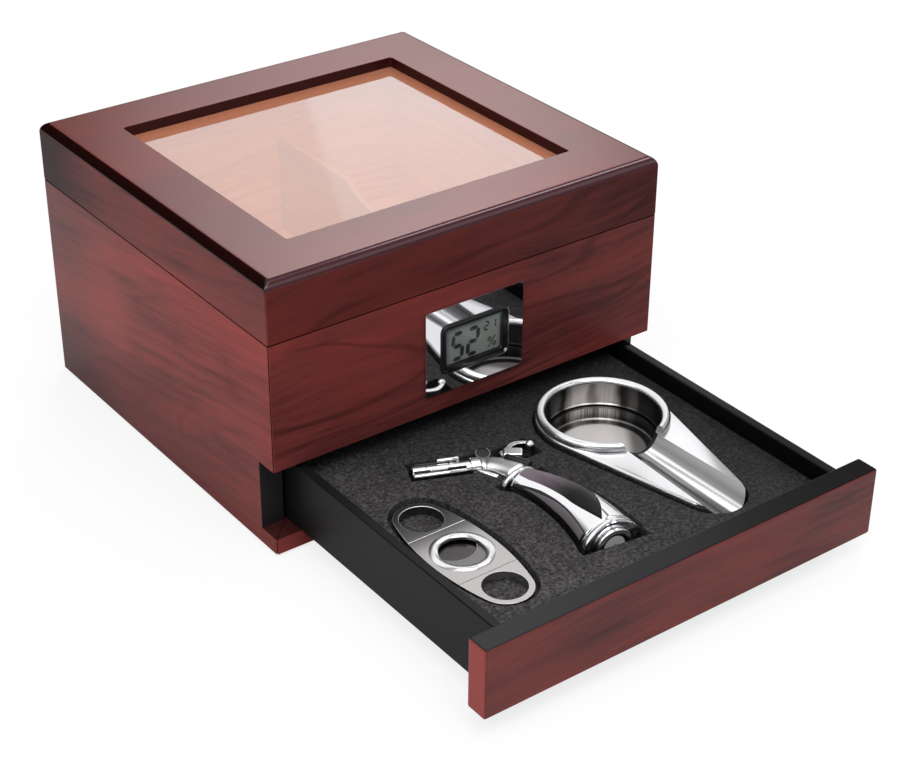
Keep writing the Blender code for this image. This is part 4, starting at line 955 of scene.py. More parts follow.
def make_case(wood):
    """The four mitred panels, the base board and its felt, and the finish of the lining."""
    # The side veneer is a brighter copy of the front's: painted light. It is also painted darker low
    # down and towards the back: painted shade.
    front, side = wood_sides(wood, gain=1.42, side_gain=2.25, foot=0.075, far=0.35)
    inner = satin_paint("case_inside_black", (0.010, 0.009, 0.010), 0.55)
    rim = veneer("veneer_rim", wood, "XYZ",
                 (wood.veneer_dark, wood.veneer_dark, wood.veneer_middle), gain=0.8)
    sides = {"-Y": front, "+Y": front, "-X": side, "+X": side, "+Z": rim, "-Z": inner}
    for name in ("front_panel", "back_panel", "side_panel_left", "side_panel_right",
                 "base_board"):
        made = piece(f"{name}_veneered", node_shape(name), "case", front, name, level=0.6)
        face_finishes(made, sides)
        repaint(made, inner, inside_bay)
        soften(made, wood.edge_round, 2)
    dress(felt_cloth("base_felt_cloth", (0.012, 0.012, 0.013)), "base_felt")
    dress(cedar("plywood_floor", wood, "XYZ", 0.7, 0.8), "chamber_floor")
    dress(cedar("cedar_boards_x", wood, "XZY"), "cedar_front", "cedar_back",
          "lid_cedar_front", "lid_cedar_back")
    dress(cedar("cedar_boards_y", wood, "YZX", 0.3), "cedar_left", "cedar_right",
          "lid_cedar_left", "lid_cedar_right")
    dress(cedar("cedar_floor_board", wood, "XYZ", 0.5, 1.12), "cedar_floor")
    # The divider takes a darker copy of the cedar: painted shade that dims its lit top edge.
    dress(cedar("cedar_divider_board", wood, "YZX", 0.9, 0.6), "divider")


def lid_profile(low, high):
    """The lid frame's section as (inset, height, corner radius), round from its lower edge."""
    profile = [(RIM_EASE * (1 - sine), low + RIM_EASE * (1 - cosine), PANEL_EASE)
               for sine, cosine in quarter_turn(3)]
    profile += [(LID_ROUND * (1 - cosine), high - LID_ROUND * (1 - sine),
                 PANEL_EASE + 0.6 * MM * sine) for sine, cosine in quarter_turn(16)]
    ease, corner, flange = RIM_EASE * 1.2, WINDOW_CORNER / 2, high - LID_TOP
    profile += [(WINDOW_BORDER - ease * (1 - sine), high - ease * (1 - cosine), corner)
                for sine, cosine in quarter_turn(3)]
    return profile + [(WINDOW_BORDER, flange, corner), (LID_WALL, flange, WALL_CORNER),
                      (LID_WALL, low, WALL_CORNER)]


def make_lid(wood):
    """The lid's veneered frame with its rounded edge and its pane."""
    # As on the case, the side veneer is a brighter copy of the front's, painted light, and darker
    # towards the back, painted shade.
    front, side = wood_sides(wood, gain=0.92, side_gain=1.55, foot=0.0, far=0.95)
    # The top is a lighter copy of the veneer without its dark streaks: painted light on the face
    # turned to the lamps above.
    top = veneer("veneer_top", wood, "XYZ",
                 (wood.veneer_middle, wood.veneer_middle, wood.veneer_red), (0.9, 0.3, 0.0),
                 slant=0.02, gain=1.25, blur=wood.top_blur, specular=0.5, wave=0.5)
    # The round edge of the same veneer is painted near black, and less dark along the front: painted
    # reflection.
    edge = satin_paint("lid_edge_lacquer", wood.edge_painted_dark, 0.11, 0.02, 0.5)
    edge_front_painted = satin_paint("lid_front_edge_lacquer", wood.edge_front_painted, 0.13, 0.02, 0.5)
    inner = satin_paint("lid_inside", wood.window_wall, 0.42, 0.04, 0.2)
    half_x, half_y = spans("lid_frame", "xy")[1]
    low, high = (corner.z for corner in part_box("lid_frame"))
    rings = [lay(rounded(half_x - inset, half_y - inset, radius, steps=6), height)
             for inset, height, radius in lid_profile(low, high)]
    made = piece("lid_frame_veneered", loft(rings, closed=True), "lid", front, "lid_frame")
    mortises = []
    for name in ("hinge_upper_left", "hinge_upper_right"):
        start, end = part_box(name)
        mortises.append(block((start.x - GLUE_GAP, half_y - 10 * MM, low - OVERRUN),
                              (end.x + GLUE_GAP, half_y + OVERRUN, low + 1.6 * MM)))
    carve(made, *mortises)

    def outer(middle):
        return half_x - abs(middle.x) < LID_WALL - MM or half_y - abs(middle.y) < LID_WALL - MM

    def round_over(middle, way):
        return outer(middle) and middle.z > high - LID_ROUND and 0.16 < way.z < 0.985

    face_finishes(made, {"-Y": front, "+Y": front, "-X": side, "+X": side, "+Z": top,
                         "-Z": inner})
    repaint(made, inner, lambda middle, way: not outer(middle) and way.z < 0.3)
    repaint(made, edge, round_over)
    repaint(made, edge_front_painted,
            lambda middle, way: round_over(middle, way) and way.y < -abs(way.x))
    smooth(made, 28.0)
    made.modifiers.new("flat_faces", "WEIGHTED_NORMAL").keep_sharp = True
    dress(clear_pane("window_glass", (0.99, 0.95, 0.93, 1.0), 0.01, 1.58, wood.veil), "lid_glass")


def make_hinges(looks):
    """Brass hinges, with countersunk screws that only the scene adds."""
    brass = polished("hinge_brass", looks.brass, 0.20, 0.10)
    head = lathe(in_mm((0, -0.5), (1.2, -0.5), (1.7, -0.02), (1.5, 0.10), (0, 0.14)), 24)
    leaf_faces = {"lower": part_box("side_panel_left")[1].z, "upper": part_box("lid_frame")[0].z}
    for side in ("left", "right"):
        dress(brass, f"hinge_lower_{side}", f"hinge_upper_{side}", f"hinge_pin_{side}")
        for part, body, sign in (("lower", "case", 1), ("upper", "lid", -1)):
            low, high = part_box(f"hinge_{part}_{side}")
            level = leaf_faces[part] + sign * 0.02 * MM
            screws = [turned_to(head, (low.x + (high.x - low.x) * share, BACK_Y - 5.2 * MM, level),
                                (0, 0, sign)) for share in (0.18, 0.5, 0.82)]
            trim(f"hinge_screws_{part}_{side}", joined(*screws), body, brass,
                 40)


def make_humidifier(looks):
    """The finish of the instruments' black cases, the sponge, the keeper and the cell."""
    dress(satin_paint("humidifier_plastic", (0.012, 0.012, 0.013), 0.38), "humidifier_case",
          "humidifier_grille", "hygrometer_case", "hygrometer_cell_cover")
    dress(sponge_foam("humidifier_foam", (0.05, 0.16, 0.07)), "humidifier_sponge")
    dress(brushed("keeper_steel", looks.steel, 0.35), "humidifier_keeper", "hygrometer_cell")


# The hygrometer

SEGMENTS = {"0": "abcdef", "1": "bc", "2": "abged", "3": "abgcd", "4": "fgbc", "5": "afgcd",
            "6": "afgedc", "7": "abc", "8": "abcdefg", "9": "abfgcd"}
SEGMENT_ENDS = {"a": ((0, 1), (1, 1)), "b": ((1, 0.5), (1, 1)), "c": ((1, 0), (1, 0.5)),
                "d": ((0, 0), (1, 0)), "e": ((0, 0), (0, 0.5)), "f": ((0, 0.5), (0, 1)),
                "g": ((0, 0.5), (1, 0.5))}


def segment_bars(text, left, low, wide, tall, bar, pitch, lean=0.06):
    """Seven-segment figures as flat bars in the display's own plane."""
    bars = []
    for index, sign in enumerate(text):
        for key in SEGMENTS[sign]:
            start, end = (Vector((u * wide, v * tall)) for u, v in SEGMENT_ENDS[key])
            way = (end - start).normalized() * (bar / 2)
            across = Vector((-way.y, way.x))
            start, end = start + way * 0.25, end - way * 0.25
            outline = [start, start + way + across, end - way + across,
                       end, end - way - across, start + way - across]
            bars.append([(left + index * pitch + p.x + p.y * lean, low + p.y) for p in outline])
    return bars


def make_figures(looks):
    """Generic figures on the display: a reading, a percent sign and a small second reading."""
    (x0, y0, z0), (x1, _, z1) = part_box("hygrometer_display")
    front, back = y0 - 0.06 * MM, y0 - 0.005 * MM
    bars = segment_bars(f"{looks.reading:02d}", x0 + 4.2 * MM, z0 + 3.2 * MM, *LARGE_FIGURES)
    bars += segment_bars("21", x1 - 12.4 * MM, z1 - 8.2 * MM, *SMALL_FIGURES)
    u, v = x1 - 10.0 * MM, z0 + 3.4 * MM
    bars.append([(u + x, v + z) for x, z in in_mm((0, 0), (0.9, 0), (5.6, 6.4), (4.7, 6.4))])
    shapes = [prism(bar, front, back, "Y") for bar in bars]
    for x, z in in_mm((1.2, 5.0), (4.6, 1.4)):
        ring, hollow = (circle(radius * MM, 20, (u + x, v + z)) for radius in (1.35, 0.65))
        shapes.append(prism(ring, front, back, "Y", [hollow]))
    ink = satin_paint("display_figures", (0.012, 0.014, 0.013), 0.5)
    trim("hygrometer_figures", joined(*shapes), "case", ink)


def make_hygrometer(looks):
    """The mirror plate, the black display frame, its button, the display and its figures."""
    plate_low, plate_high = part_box("hygrometer_bezel")
    middle, plate_half = spans("hygrometer_bezel", "xz")
    half_x, half_z = spans("hygrometer_frame", "xz")[1]
    front, back = (corner.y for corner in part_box("hygrometer_frame"))

    def outline(grow, corner, centre=middle):
        return rounded(half_x + grow, half_z + grow, corner, centre)

    mirror = polished("bezel_mirror", looks.chrome, 0.025, 0.015)
    hole = outline(METER_FIT, METER_CORNER + METER_FIT)
    plate = piece("hygrometer_bezel_plate",
                  prism(rounded(*plate_half, BEZEL_CORNER, middle), plate_low.y, plate_high.y,
                        "Y", [hole]), "case", mirror, "hygrometer_bezel")
    # The bevelled edges take a paler steel: painted highlight.
    soften(plate, 0.45 * MM, 3, edge=satin_metal("bezel_edge", looks.edge, 0.30))
    black = satin_paint("meter_black", (0.006, 0.006, 0.007), 0.16, 0.02)
    rings = [lay(outline(0.0, METER_CORNER), back, "Y")]
    for sine, cosine in quarter_turn(4):
        inset = FRAME_LIP * (1 - cosine)
        rings.append(lay(outline(-inset, METER_CORNER - inset), front + FRAME_LIP * (1 - sine),
                         "Y"))
    border = FRAME_BORDER + WINDOW_SHIFT * 0.6
    centre = (middle[0] - WINDOW_SHIFT, middle[1] + WINDOW_SHIFT)
    for ease, y in ((0.3 * MM, front), (0.0, front + 0.4 * MM), (0.0, back)):
        rings.append(lay(outline(ease - border, FRAME_BORDER / 2 + ease, centre), y, "Y"))
    piece("hygrometer_display_frame", loft(rings, closed=True), "case", black,
          "hygrometer_frame", 40)
    line = polished("frame_edge_line", looks.chrome, 0.12, 0.05)
    rings = [lay(outline(out - 0.1 * MM, METER_CORNER + out), plate_low.y - 0.5 * MM + depth, "Y")
             for depth, out in in_mm((0, 0), (0, 0.45), (0.5, 0.45), (0.5, 0))]
    made = trim("hygrometer_edge_line", loft(rings, closed=True), "case", line,
                40)
    # The chrome line is painted black on its left and top, so it shows only on the right and bottom:
    # painted highlight.
    repaint(made, black, lambda at, way: (at.x < middle[0] - half_x + MM
                                          or at.z > middle[1] + half_z - MM))
    button = lathe(in_mm((0, -0.2), (1.15, -0.2), (1.15, 0.15), (0.8, 0.4), (0, 0.5)), 32)
    at = (middle[0] + half_x - 2.6 * MM, front + 0.05 * MM, middle[1] - half_z + 2.6 * MM)
    trim("hygrometer_button", turned_to(button, at, (0, -1, 0)), "case", line,
         40)
    dress(display_glass("display_grey", looks.display), "hygrometer_display")
    dress(clear_pane("display_lens", (0.93, 0.94, 0.93, 1.0), 0.02), "hygrometer_lens")
    make_figures(looks)


# The drawer and its foam

def make_drawer(looks, wood):
    """The veneered drawer front, its black box and the foam insert."""
    face = veneer("veneer_drawer_front", wood, "XZY",
                  (wood.veneer_dark, wood.veneer_middle, wood.veneer_red), (1.3, 0.5, 0.0),
                  slant=0.02, gain=1.3, specular=0.2, wave=0.4)
    # The ends take a brighter, redder copy of the front's veneer: painted light on the lit end.
    end = veneer("veneer_drawer_end", wood, "YZX",
                 (wood.veneer_middle, wood.veneer_red, wood.veneer_red), gain=1.9, wave=0.4)
    low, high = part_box("drawer_front")
    # The top edge is painted paler towards the left end: painted reflection.
    edge = satin_paint("drawer_edge_black", looks.paint, 0.34, specular=0.10,
                       painted_shading=(low.x, high.x, 5.0))
    # The box is painted paler at its left and darker at its right: painted light and shade.
    box = satin_paint("drawer_box_black", looks.paint, 0.40, 0.06, 0.15,
                      painted_shading=(low.x, high.x, 1.2))
    front = piece("drawer_front_veneered", block(low, high), "drawer", face, "drawer_front")
    face_finishes(front, {"-Y": face, "-X": end, "+X": end, "+Z": edge, "+Y": edge, "-Z": edge})
    soften(front, 1.4 * MM, 4)
    for name in ("drawer_side_left", "drawer_side_right", "drawer_back"):
        piece(f"{name}_painted", node_shape(name), "drawer", box, name, 25, level=0.6)
    dress(box, "drawer_bottom")
    foam = piece("foam_insert_cut", node_shape("foam_insert"), "drawer",
                 cut_foam("charcoal_foam", looks), "foam_insert", level=0.6)
    soften(foam, looks.foam_edge, 3)


# The ashtray

def teardrop(inset=0.0):
    """The ashtray's outline: a large circle and a small one towards the front, with tangents."""
    big, small = PLATE_RADIUS - inset, TAIL_RADIUS - inset
    lean = math.asin((big - small) / ASHTRAY_REACH)
    points = []
    for share in shares(FINE):
        angle = -lean + (math.pi + 2 * lean) * share
        points.append((big * math.cos(angle), big * math.sin(angle)))
    for share in shares(FINE // 2):
        angle = math.pi + lean + (math.pi - 2 * lean) * share
        points.append((small * math.cos(angle), small * math.sin(angle) - ASHTRAY_REACH))
    return points


def rest_channel(middle, top):
    """The cigar rest's cutter: a flared round channel from the bowl out over the tail."""
    rings = []
    end = ASHTRAY_REACH + TAIL_RADIUS + OVERRUN
    for share, width, depth in zip((0.0, 1.0), REST_WIDTHS, REST_DEPTHS):
        radius = (width ** 2 / 4 + depth ** 2) / (2 * depth)
        ring = circle(radius, FINE * 2, (middle.x, top - depth + radius))
        rings.append(lay(ring, middle.y - end * share, "Y"))
    return loft(rings)


def shifted(outline, middle):
    return [(x + middle.x, y + middle.y) for x, y in outline]


def make_ashtray(looks):
    """The polished plate with its cigar rest, and the turned bowl with a rolled rim."""
    low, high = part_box("ashtray_bowl")
    middle = (low + high) / 2
    plate_low, plate_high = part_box("ashtray_plate")
    top = plate_high.z
    reach = ASHTRAY_REACH + TAIL_RADIUS
    chrome = satin_metal("ashtray_polish", looks.chrome, 0.20)
    trough = trough_steel("ashtray_rest_polish", looks.chrome, middle.x, middle.y, reach)
    rings = [lay(shifted(teardrop(), middle), plate_low.z)]
    for sine, cosine in quarter_turn(5):
        rings.append(lay(shifted(teardrop(PLATE_ROUND * (1 - cosine)), middle),
                         top - PLATE_ROUND * (1 - sine)))
    plate = piece("ashtray_plate_polished", loft(rings), "ashtray", chrome, "ashtray_plate")
    bore = prism(circle(BOWL_RADIUS + GLUE_GAP, FINE, middle[:2]), plate_low.z - OVERRUN,
                 top + OVERRUN)
    carve(plate, bore, rest_channel(middle, top))

    def in_rest(at, way):
        return (abs(at.x - middle.x) < REST_WIDTHS[1] / 2 + MM and at.y < middle.y - BOWL_RADIUS
                and 0.05 < way.z < 0.9999 and at.z < top - 0.2 * MM
                and (at.xy - middle.xy).length < reach - 2 * MM)

    repaint(plate, trough, in_rest)
    soften(plate, 0.5 * MM, 3, 24)
    base, lip_low, inner = low.z, top + GLUE_GAP, BOWL_RADIUS - BOWL_WALL
    floor, step_in = base + BOWL_FLOOR, inner - BOWL_STEP
    step_at = floor + BOWL_STEP_HEIGHT
    lip = (RIM_RADIUS - inner) / 2
    profile = [(0.0, base), (BOWL_RADIUS, base), (BOWL_RADIUS, lip_low), (RIM_RADIUS, lip_low)]
    profile += [(inner + lip * (1 + math.cos(math.pi * share)),
                 high.z - lip + lip * math.sin(math.pi * share)) for share in shares(16)]
    for edge, height, trace in (
            (inner, step_at, ((0, 1.6), (-0.7, 0.8), (-0.1, 0.2))),
            (step_in, step_at, ((0.5, 0), (0, -0.5))), (step_in, floor, ((0, 0.8), (-0.8, 0))),
            (0.0, floor, ((3.2, 0), (2.8, 0.25), (0, 0.3)))):
        profile += [(edge + out, height + up) for out, up in in_mm(*trace)]
    steel = turned_steel("bowl_turned_steel", looks.steel, middle, step_at)
    bowl = piece("ashtray_bowl_turned", lathe(profile, 128, middle[:2]), "ashtray", steel,
                 "ashtray_bowl")
    carve(bowl, rest_channel(middle, top))
    repaint(bowl, satin_metal("bowl_rim_polish", looks.chrome, 0.24),
            lambda at, way: at.z > lip_low - 0.1 * MM or (at.xy - middle.xy).length > inner + MM)
    smooth(bowl, 30)


# The cutter

def half_breadth(along):
    """Half of the cutter's breadth at a place along it."""
    half, apart = CUTTER_WIDTH / 2, FINGER_APART / 2
    big = (half ** 2 + apart ** 2 - GRIP_RADIUS ** 2) / (2 * (half - GRIP_RADIUS))
    centre, touch = half - big, apart * big / (big - GRIP_RADIUS)
    if abs(along) <= touch:
        return centre + math.sqrt(big ** 2 - along ** 2)
    return math.sqrt(max(GRIP_RADIUS ** 2 - (abs(along) - apart) ** 2, 0.0))


def cutter_outline(start, end):
    """The cutter's plan between two places along it."""
    middle, reach = (start + end) / 2, (end - start) / 2
    along = [middle - reach * math.cos(math.pi * share) for share in shares(60)]
    right = [(half_breadth(value), value) for value in along]
    outline = []
    for point in right + [(-x, y) for x, y in reversed(right)]:
        if not outline or (Vector(point) - Vector(outline[-1])).length > 0.05 * MM:
            outline.append(point)
    return outline


def blade_plan(sign, root, edge_shift):
    """A blade's plan: square in the grip, and hollowed to a crescent cutting edge."""
    half, sweep = BLADE_WIDTH / 2, math.radians(80.0)
    tip = -edge_shift + EDGE_RADIUS * math.cos(sweep)
    points = [(half, root), (-half, root), (-half, tip)]
    for share in shares(40):
        angle = -sweep + 2 * sweep * share
        points.append((EDGE_RADIUS * math.sin(angle), -edge_shift + EDGE_RADIUS * math.cos(angle)))
    points.append((half, tip))
    return [(x, sign * y) for x, y in points]


def make_cutter(looks):
    """The satin ring frame, the two finger grips and the crescent blades."""
    low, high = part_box("cutter_frame")
    middle = (low + high) / 2
    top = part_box("cutter_grip_rear")[1].z
    half, end = FRAME_LENGTH / 2, FINGER_APART / 2 + GRIP_RADIUS
    # The satin steel is painted darker towards the rear grip: painted shade.
    satin = satin_metal("cutter_satin_steel", looks.satin, 0.20,
                        painted_shading=(middle.y + 6 * MM, middle.y + 26 * MM, 0.36))
    # The lower blade takes a darker copy of the same steel: painted shade where it lies under the
    # upper blade.
    steels = {"front": brushed("blade_steel_upper", looks.blade, 0.24, 0.5),
              "rear": brushed("blade_steel_lower", looks.blade_low, 0.24, 0.5)}
    # The bevelled edges of frame, grips and blades take a paler steel: painted highlight.
    edge_highlight = satin_metal("cutter_edge_polish", looks.edge, 0.30)
    body = piece("cutter_frame_satin",
                 prism(shifted(cutter_outline(-half, half), middle), low.z, top, "Z",
                       [circle(CIGAR_RADIUS, FINE, middle[:2])]), "cutter", satin,
                 "cutter_frame")
    slot_x, level = BLADE_WIDTH / 2 + BLADE_GAP, (low.z + top) / 2
    carve(body, block((middle.x - slot_x, middle.y - end, level - BLADE_ROOM),
                      (middle.x + slot_x, middle.y + end, level + BLADE_ROOM)))
    soften(body, 0.6 * MM, 3, edge=edge_highlight)
    crown = RING_RADIUS - CIGAR_RADIUS
    bead = [(CIGAR_RADIUS, top - 0.2 * MM), (RING_RADIUS, top - 0.2 * MM),
            (RING_RADIUS, top + 0.2 * MM)]
    bead += [(RING_RADIUS - 0.2 * MM - (crown - 0.4 * MM) * share,
              top + 0.35 * MM + (RING_PROUD - 0.35 * MM) * math.sin(math.pi * share))
             for share in shares(8)]
    bead.append((CIGAR_RADIUS, top + 0.2 * MM))
    rings = [lay(circle(radius, FINE, middle[:2]), z) for radius, z in bead]
    trim("cutter_ring_bead", loft(rings, closed=True), "cutter",
         satin_metal("cutter_ring_polish", looks.chrome, 0.18), 40)
    inner, edge_shift = half + PART_GAP, EDGE_RADIUS + BLADE_OVERLAP / 2
    for name, sign, other in (("rear", 1, "front"), ("front", -1, "rear")):
        carrier = f"cutter_{name}_half"
        outline = [(x, sign * y) for x, y in cutter_outline(inner, end)]
        finger = (middle.x, middle.y + sign * FINGER_APART / 2)
        grip = piece(f"cutter_grip_{name}_satin",
                     prism(shifted(outline, middle), low.z, top, "Z",
                           [circle(FINGER_RADIUS, FINE, finger)]), carrier, satin,
                     f"cutter_grip_{name}")
        floor, ceiling = (corner.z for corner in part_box(f"cutter_blade_{other}"))
        ends = sorted((middle.y + sign * (inner - OVERRUN), middle.y + sign * (inner + BLADE_ROOT)))
        carve(grip, block((middle.x - slot_x, ends[0], floor - BLADE_GAP),
                          (middle.x + slot_x, ends[1], ceiling + BLADE_GAP)))
        soften(grip, 0.8 * MM, 3, edge=edge_highlight)
        plan = blade_plan(sign, inner + BLADE_ROOT - BLADE_GAP, edge_shift + sign * EDGE_SHIFT)
        blade = piece(f"cutter_blade_{name}_ground", prism(shifted(plan, middle), floor, ceiling),
                      carrier, steels[name], f"cutter_blade_{name}")
        soften(blade, 0.45 * MM, 2, edge=edge_highlight)


# The lighter

def curve(controls, share):
    """A point of a smooth curve between its first and last control, and the way it runs."""
    level, heading = [Vector(point) for point in controls], None
    while len(level) > 1:
        heading = level[-1] - level[0]
        level = [first.lerp(second, share) for first, second in zip(level, level[1:])]
    return level[0], heading.normalized()


def pointing(degrees):
    return Vector((math.cos(math.radians(degrees)), math.sin(math.radians(degrees))))


def square_to(heading):
    return Vector((-heading.y, heading.x))


def dip(value, at, wide):
    """A smooth hump of height 1 round a place."""
    return math.exp(-((value - at) / wide) ** 2)


def on_lighter(x, y, rise):
    """A place from millimetres, with its height from the lighter's middle."""
    return Vector((x * MM, y * MM, LIGHTER_Z + rise * MM))


def handle_frame(share):
    """The middle of the handle at a share of its length, and the way that its section faces."""
    centre = curve(((0.0, 0.0), HANDLE_BEND, HANDLE_END), share)[0]
    return centre, pointing(NECK_AIM + (FOOT_AIM - NECK_AIM) * share)


def handle_half(share):
    """The handle's half breadths in plan and upright, which grow from neck to foot."""
    first, second, blend = ((NECK, WAIST, share * 2) if share < 0.5
                            else (WAIST, FOOT, share * 2 - 1))
    return tuple(low + (high - low) * blend for low, high in zip(first, second))


def handle_skin(share, angle, out=0.0):
    """A point of the handle's skin, with a soft ridge on top: 0 is its right, 90 degrees its top."""
    centre, heading = handle_frame(share)
    wide, tall = handle_half(share)
    turned = math.degrees(angle) % 360.0
    swell = 1.0 + 0.045 * dip(turned, 92.0, 17.0) - 0.02 * (dip(turned, 42.0, 24.0)
                                                            + dip(turned, 142.0, 24.0))
    plan = NECK_AT + centre + square_to(heading) * (wide * swell + out) * math.cos(angle)
    return plan.x, plan.y, LIGHTER_Z + (tall * swell + out) * math.sin(angle)


def section(centre, heading, wide, tall, count=48, square=1.0):
    """An upright oval across a heading in plan; a power under 1 makes it squarer."""
    ring = []
    for step in range(count):
        angle = math.tau * step / count
        c, s = math.cos(angle), math.sin(angle)
        c, s = math.copysign(abs(c) ** square, c), math.copysign(abs(s) ** square, s)
        plan = NECK_AT + centre + square_to(heading) * wide * c
        ring.append((plan.x, plan.y, LIGHTER_Z + tall * s))
    return ring


def lip_out(share):
    """How far the handle swells at its foot: a groove, then a round lip."""
    end = max(0.0, (share - 0.945) / 0.055)
    lip = 0.45 * MM * math.sin(math.pi * end) if 0 < end < 1 else 0.0
    return lip - 0.9 * MM * dip(share, 0.935, 0.007)


def inlay_shape(middle, breadth, along, depth, opening, taper, drift, steps=36, across=12):
    """A thin panel on the handle, which opens from the collar and may taper and drift.

    middle, breadth and drift are in degrees round the handle, along names its two ends as shares
    of the handle's length and depth its lower and upper face in millimetres over the skin."""
    points, faces = [], []
    (start, end), (low, high) = along, depth
    for out in (low * MM, high * MM):
        for share in shares(steps):
            late = max(0.0, (share - 0.62) / 0.38)
            swell = min(1.0, opening + 1.9 * share) * (1 - taper * late ** 1.3)
            for place in shares(across):
                side = 2 * place - 1
                angle = middle + drift * late + breadth * swell * side
                drop = (out - low * MM) * max(0.0, abs(side) ** 6) * 0.8
                points.append(handle_skin(start + (end - start) * share, math.radians(angle),
                                          out - drop))
    wide, area = across + 1, (across + 1) * (steps + 1)
    for step in range(steps):
        for index in range(across):
            corner = step * wide + index
            quad = (corner, corner + 1, corner + 1 + wide, corner + wide)
            faces += [quad, tuple(i + area for i in quad)]
    rim = list(range(wide)) + [step * wide + across for step in range(1, steps + 1)]
    rim += [steps * wide + index for index in range(across - 1, -1, -1)]
    rim += [step * wide for step in range(steps - 1, 0, -1)]
    faces += [(a, b, b + area, a + area) for a, b in zip(rim, rim[1:] + rim[:1])]
    return points, faces


def head_path(share):
    """The middle line of the head, from the collar round to the root of the barrel."""
    rise = Vector(HEAD_START) - pointing(NECK_AIM) * HEAD_RISE
    run = Vector(HEAD_END) - pointing(BARREL_AIM) * HEAD_RUN
    return curve((HEAD_START, rise, run, HEAD_END), share)


def rod(start, end, radius):
    """A round bar with eased ends between two points."""
    length, ease = (end - start).length, radius * 0.4
    profile = [(0.0, 0.0), (radius - ease, 0.0), (radius - ease * 0.3, ease * 0.3),
               (radius, ease), (radius, length - ease), (radius - ease * 0.3, length - ease * 0.3),
               (radius - ease, length), (0.0, length)]
    return turned_to(lathe(profile, 32), start, end - start)


def make_handle(looks, chrome, black):
    """The handle with its round lip, and the three inlays on it."""
    near, far = (handle_frame(share)[0].y + NECK_AT.y for share in (0.0, 0.60))
    dark = smoked("lighter_smoked_inlay", looks.smoke, near, far)
    grey_paint = satin_paint("lighter_inlay_grey", looks.inlay_grey, 0.35, 0.05)
    turns = [math.tau * step / 72 for step in range(72)]
    rows = [share * FOOT_GROOVE for share in shares(40)]
    rows += [FOOT_GROOVE + share * (1 - FOOT_GROOVE) for share in shares(30)[1:]]
    rings = [[handle_skin(share, turn, lip_out(share)) for turn in turns] for share in rows]
    rings.append([handle_skin(1.0, turn, -1.2 * MM) for turn in turns])
    piece("lighter_handle_chrome", loft(rings), "lighter", chrome, "lighter_handle", 38)
    lower = inlay_shape(155.0, 17.5, (0.02, 0.93), (0.1, 0.6), opening=0.45, taper=0.2, drift=4.0)
    piece("lighter_inlay_left_frame", lower, "lighter", black, "lighter_inlay_left", 50)
    centre = inlay_shape(151.5, 9.5, (0.14, 0.91), (0.6, 0.75), opening=0.1, taper=0.1, drift=4.0)
    trim("lighter_inlay_left_centre", centre, "lighter", grey_paint, 50)
    upper = inlay_shape(93.0, 29.0, (0.01, 0.92), (0.1, 0.75), opening=0.8, taper=1.0, drift=10.0)
    piece("lighter_inlay_right_smoked", upper, "lighter", dark, "lighter_inlay_right", 50)


def make_collar(chrome):
    """The bulged collar between handle and head, with its finger guard at one side."""
    neck, heading = handle_frame(0.0)
    middle = neck - square_to(heading) * GUARD_REACH / 2
    rings = []
    for share in shares(12):
        bulge = math.sin(math.pi * share) ** 0.6 if 0 < share < 1 else 0.0
        flare = COLLAR_FLARE * (0.1 + 0.9 * bulge)
        rings.append(section(middle - heading * (GLUE_GAP + COLLAR_LENGTH * share), heading,
                             NECK[0] + GUARD_REACH / 2 - COLLAR_FLARE * 0.4 + flare,
                             NECK[1] - COLLAR_FLARE * 0.5 + flare, 72))
    piece("lighter_collar_chrome", loft(rings), "lighter", chrome, "lighter_collar", 60)


def make_head(chrome, black):
    """The head: a squarish chrome body that narrows to the barrel, a black rod of painted shade
    under the lever and a side rib.
    """
    rings = []
    for share in shares(32):
        centre, heading = head_path(share)
        waist = 1.08 - 0.10 * dip(share, 0.12, 0.05) - 0.08 * dip(share, 0.90, 0.05)
        radius = (HEAD_IN + (HEAD_OUT - HEAD_IN) * share) * waist
        centre = centre + HEAD_FORWARD * BARREL_FORWARD
        rings.append(section(centre, heading, radius, radius, 56, 0.66))
    pale = satin_metal("lighter_head_polish", (0.98, 0.98, 0.98), 0.30)
    piece("lighter_head_chrome", loft(rings), "lighter", pale, "lighter_head", 40)
    # The black rod stands for the shade under the lever: painted shade.
    for name, ends, radius, finish in (("slot", HEAD_SHADE_BAR, 2.4, black),
                                       ("rib", HEAD_RIB, 1.4, chrome)):
        bar = rod(*(on_lighter(*end) for end in ends), radius * MM)
        trim(f"lighter_head_{name}", bar, "lighter", finish, 50)


def make_knob(black):
    """The flame knob on the head: a black disc with a grey ring."""
    disc = lathe(in_mm((0, 0), (4.3, 0), (4.8, 0.6), (4.8, 2.4), (4.3, 2.9), (3.5, 2.9),
                       (3.3, 2.4), (0, 2.3)), 40)
    at = on_lighter(*KNOB_AT)
    knob = trim("lighter_flame_knob", turned_to(disc, at, (-0.10, -0.25, 1)), "lighter", black,
                30)
    ring = satin_metal("lighter_knob_ring", (0.13, 0.13, 0.14), 0.25)
    repaint(knob, ring, lambda middle, way: (3.4 * MM < (middle.xy - at.xy).length < 4.55 * MM
                                             and way.z > 0.4))


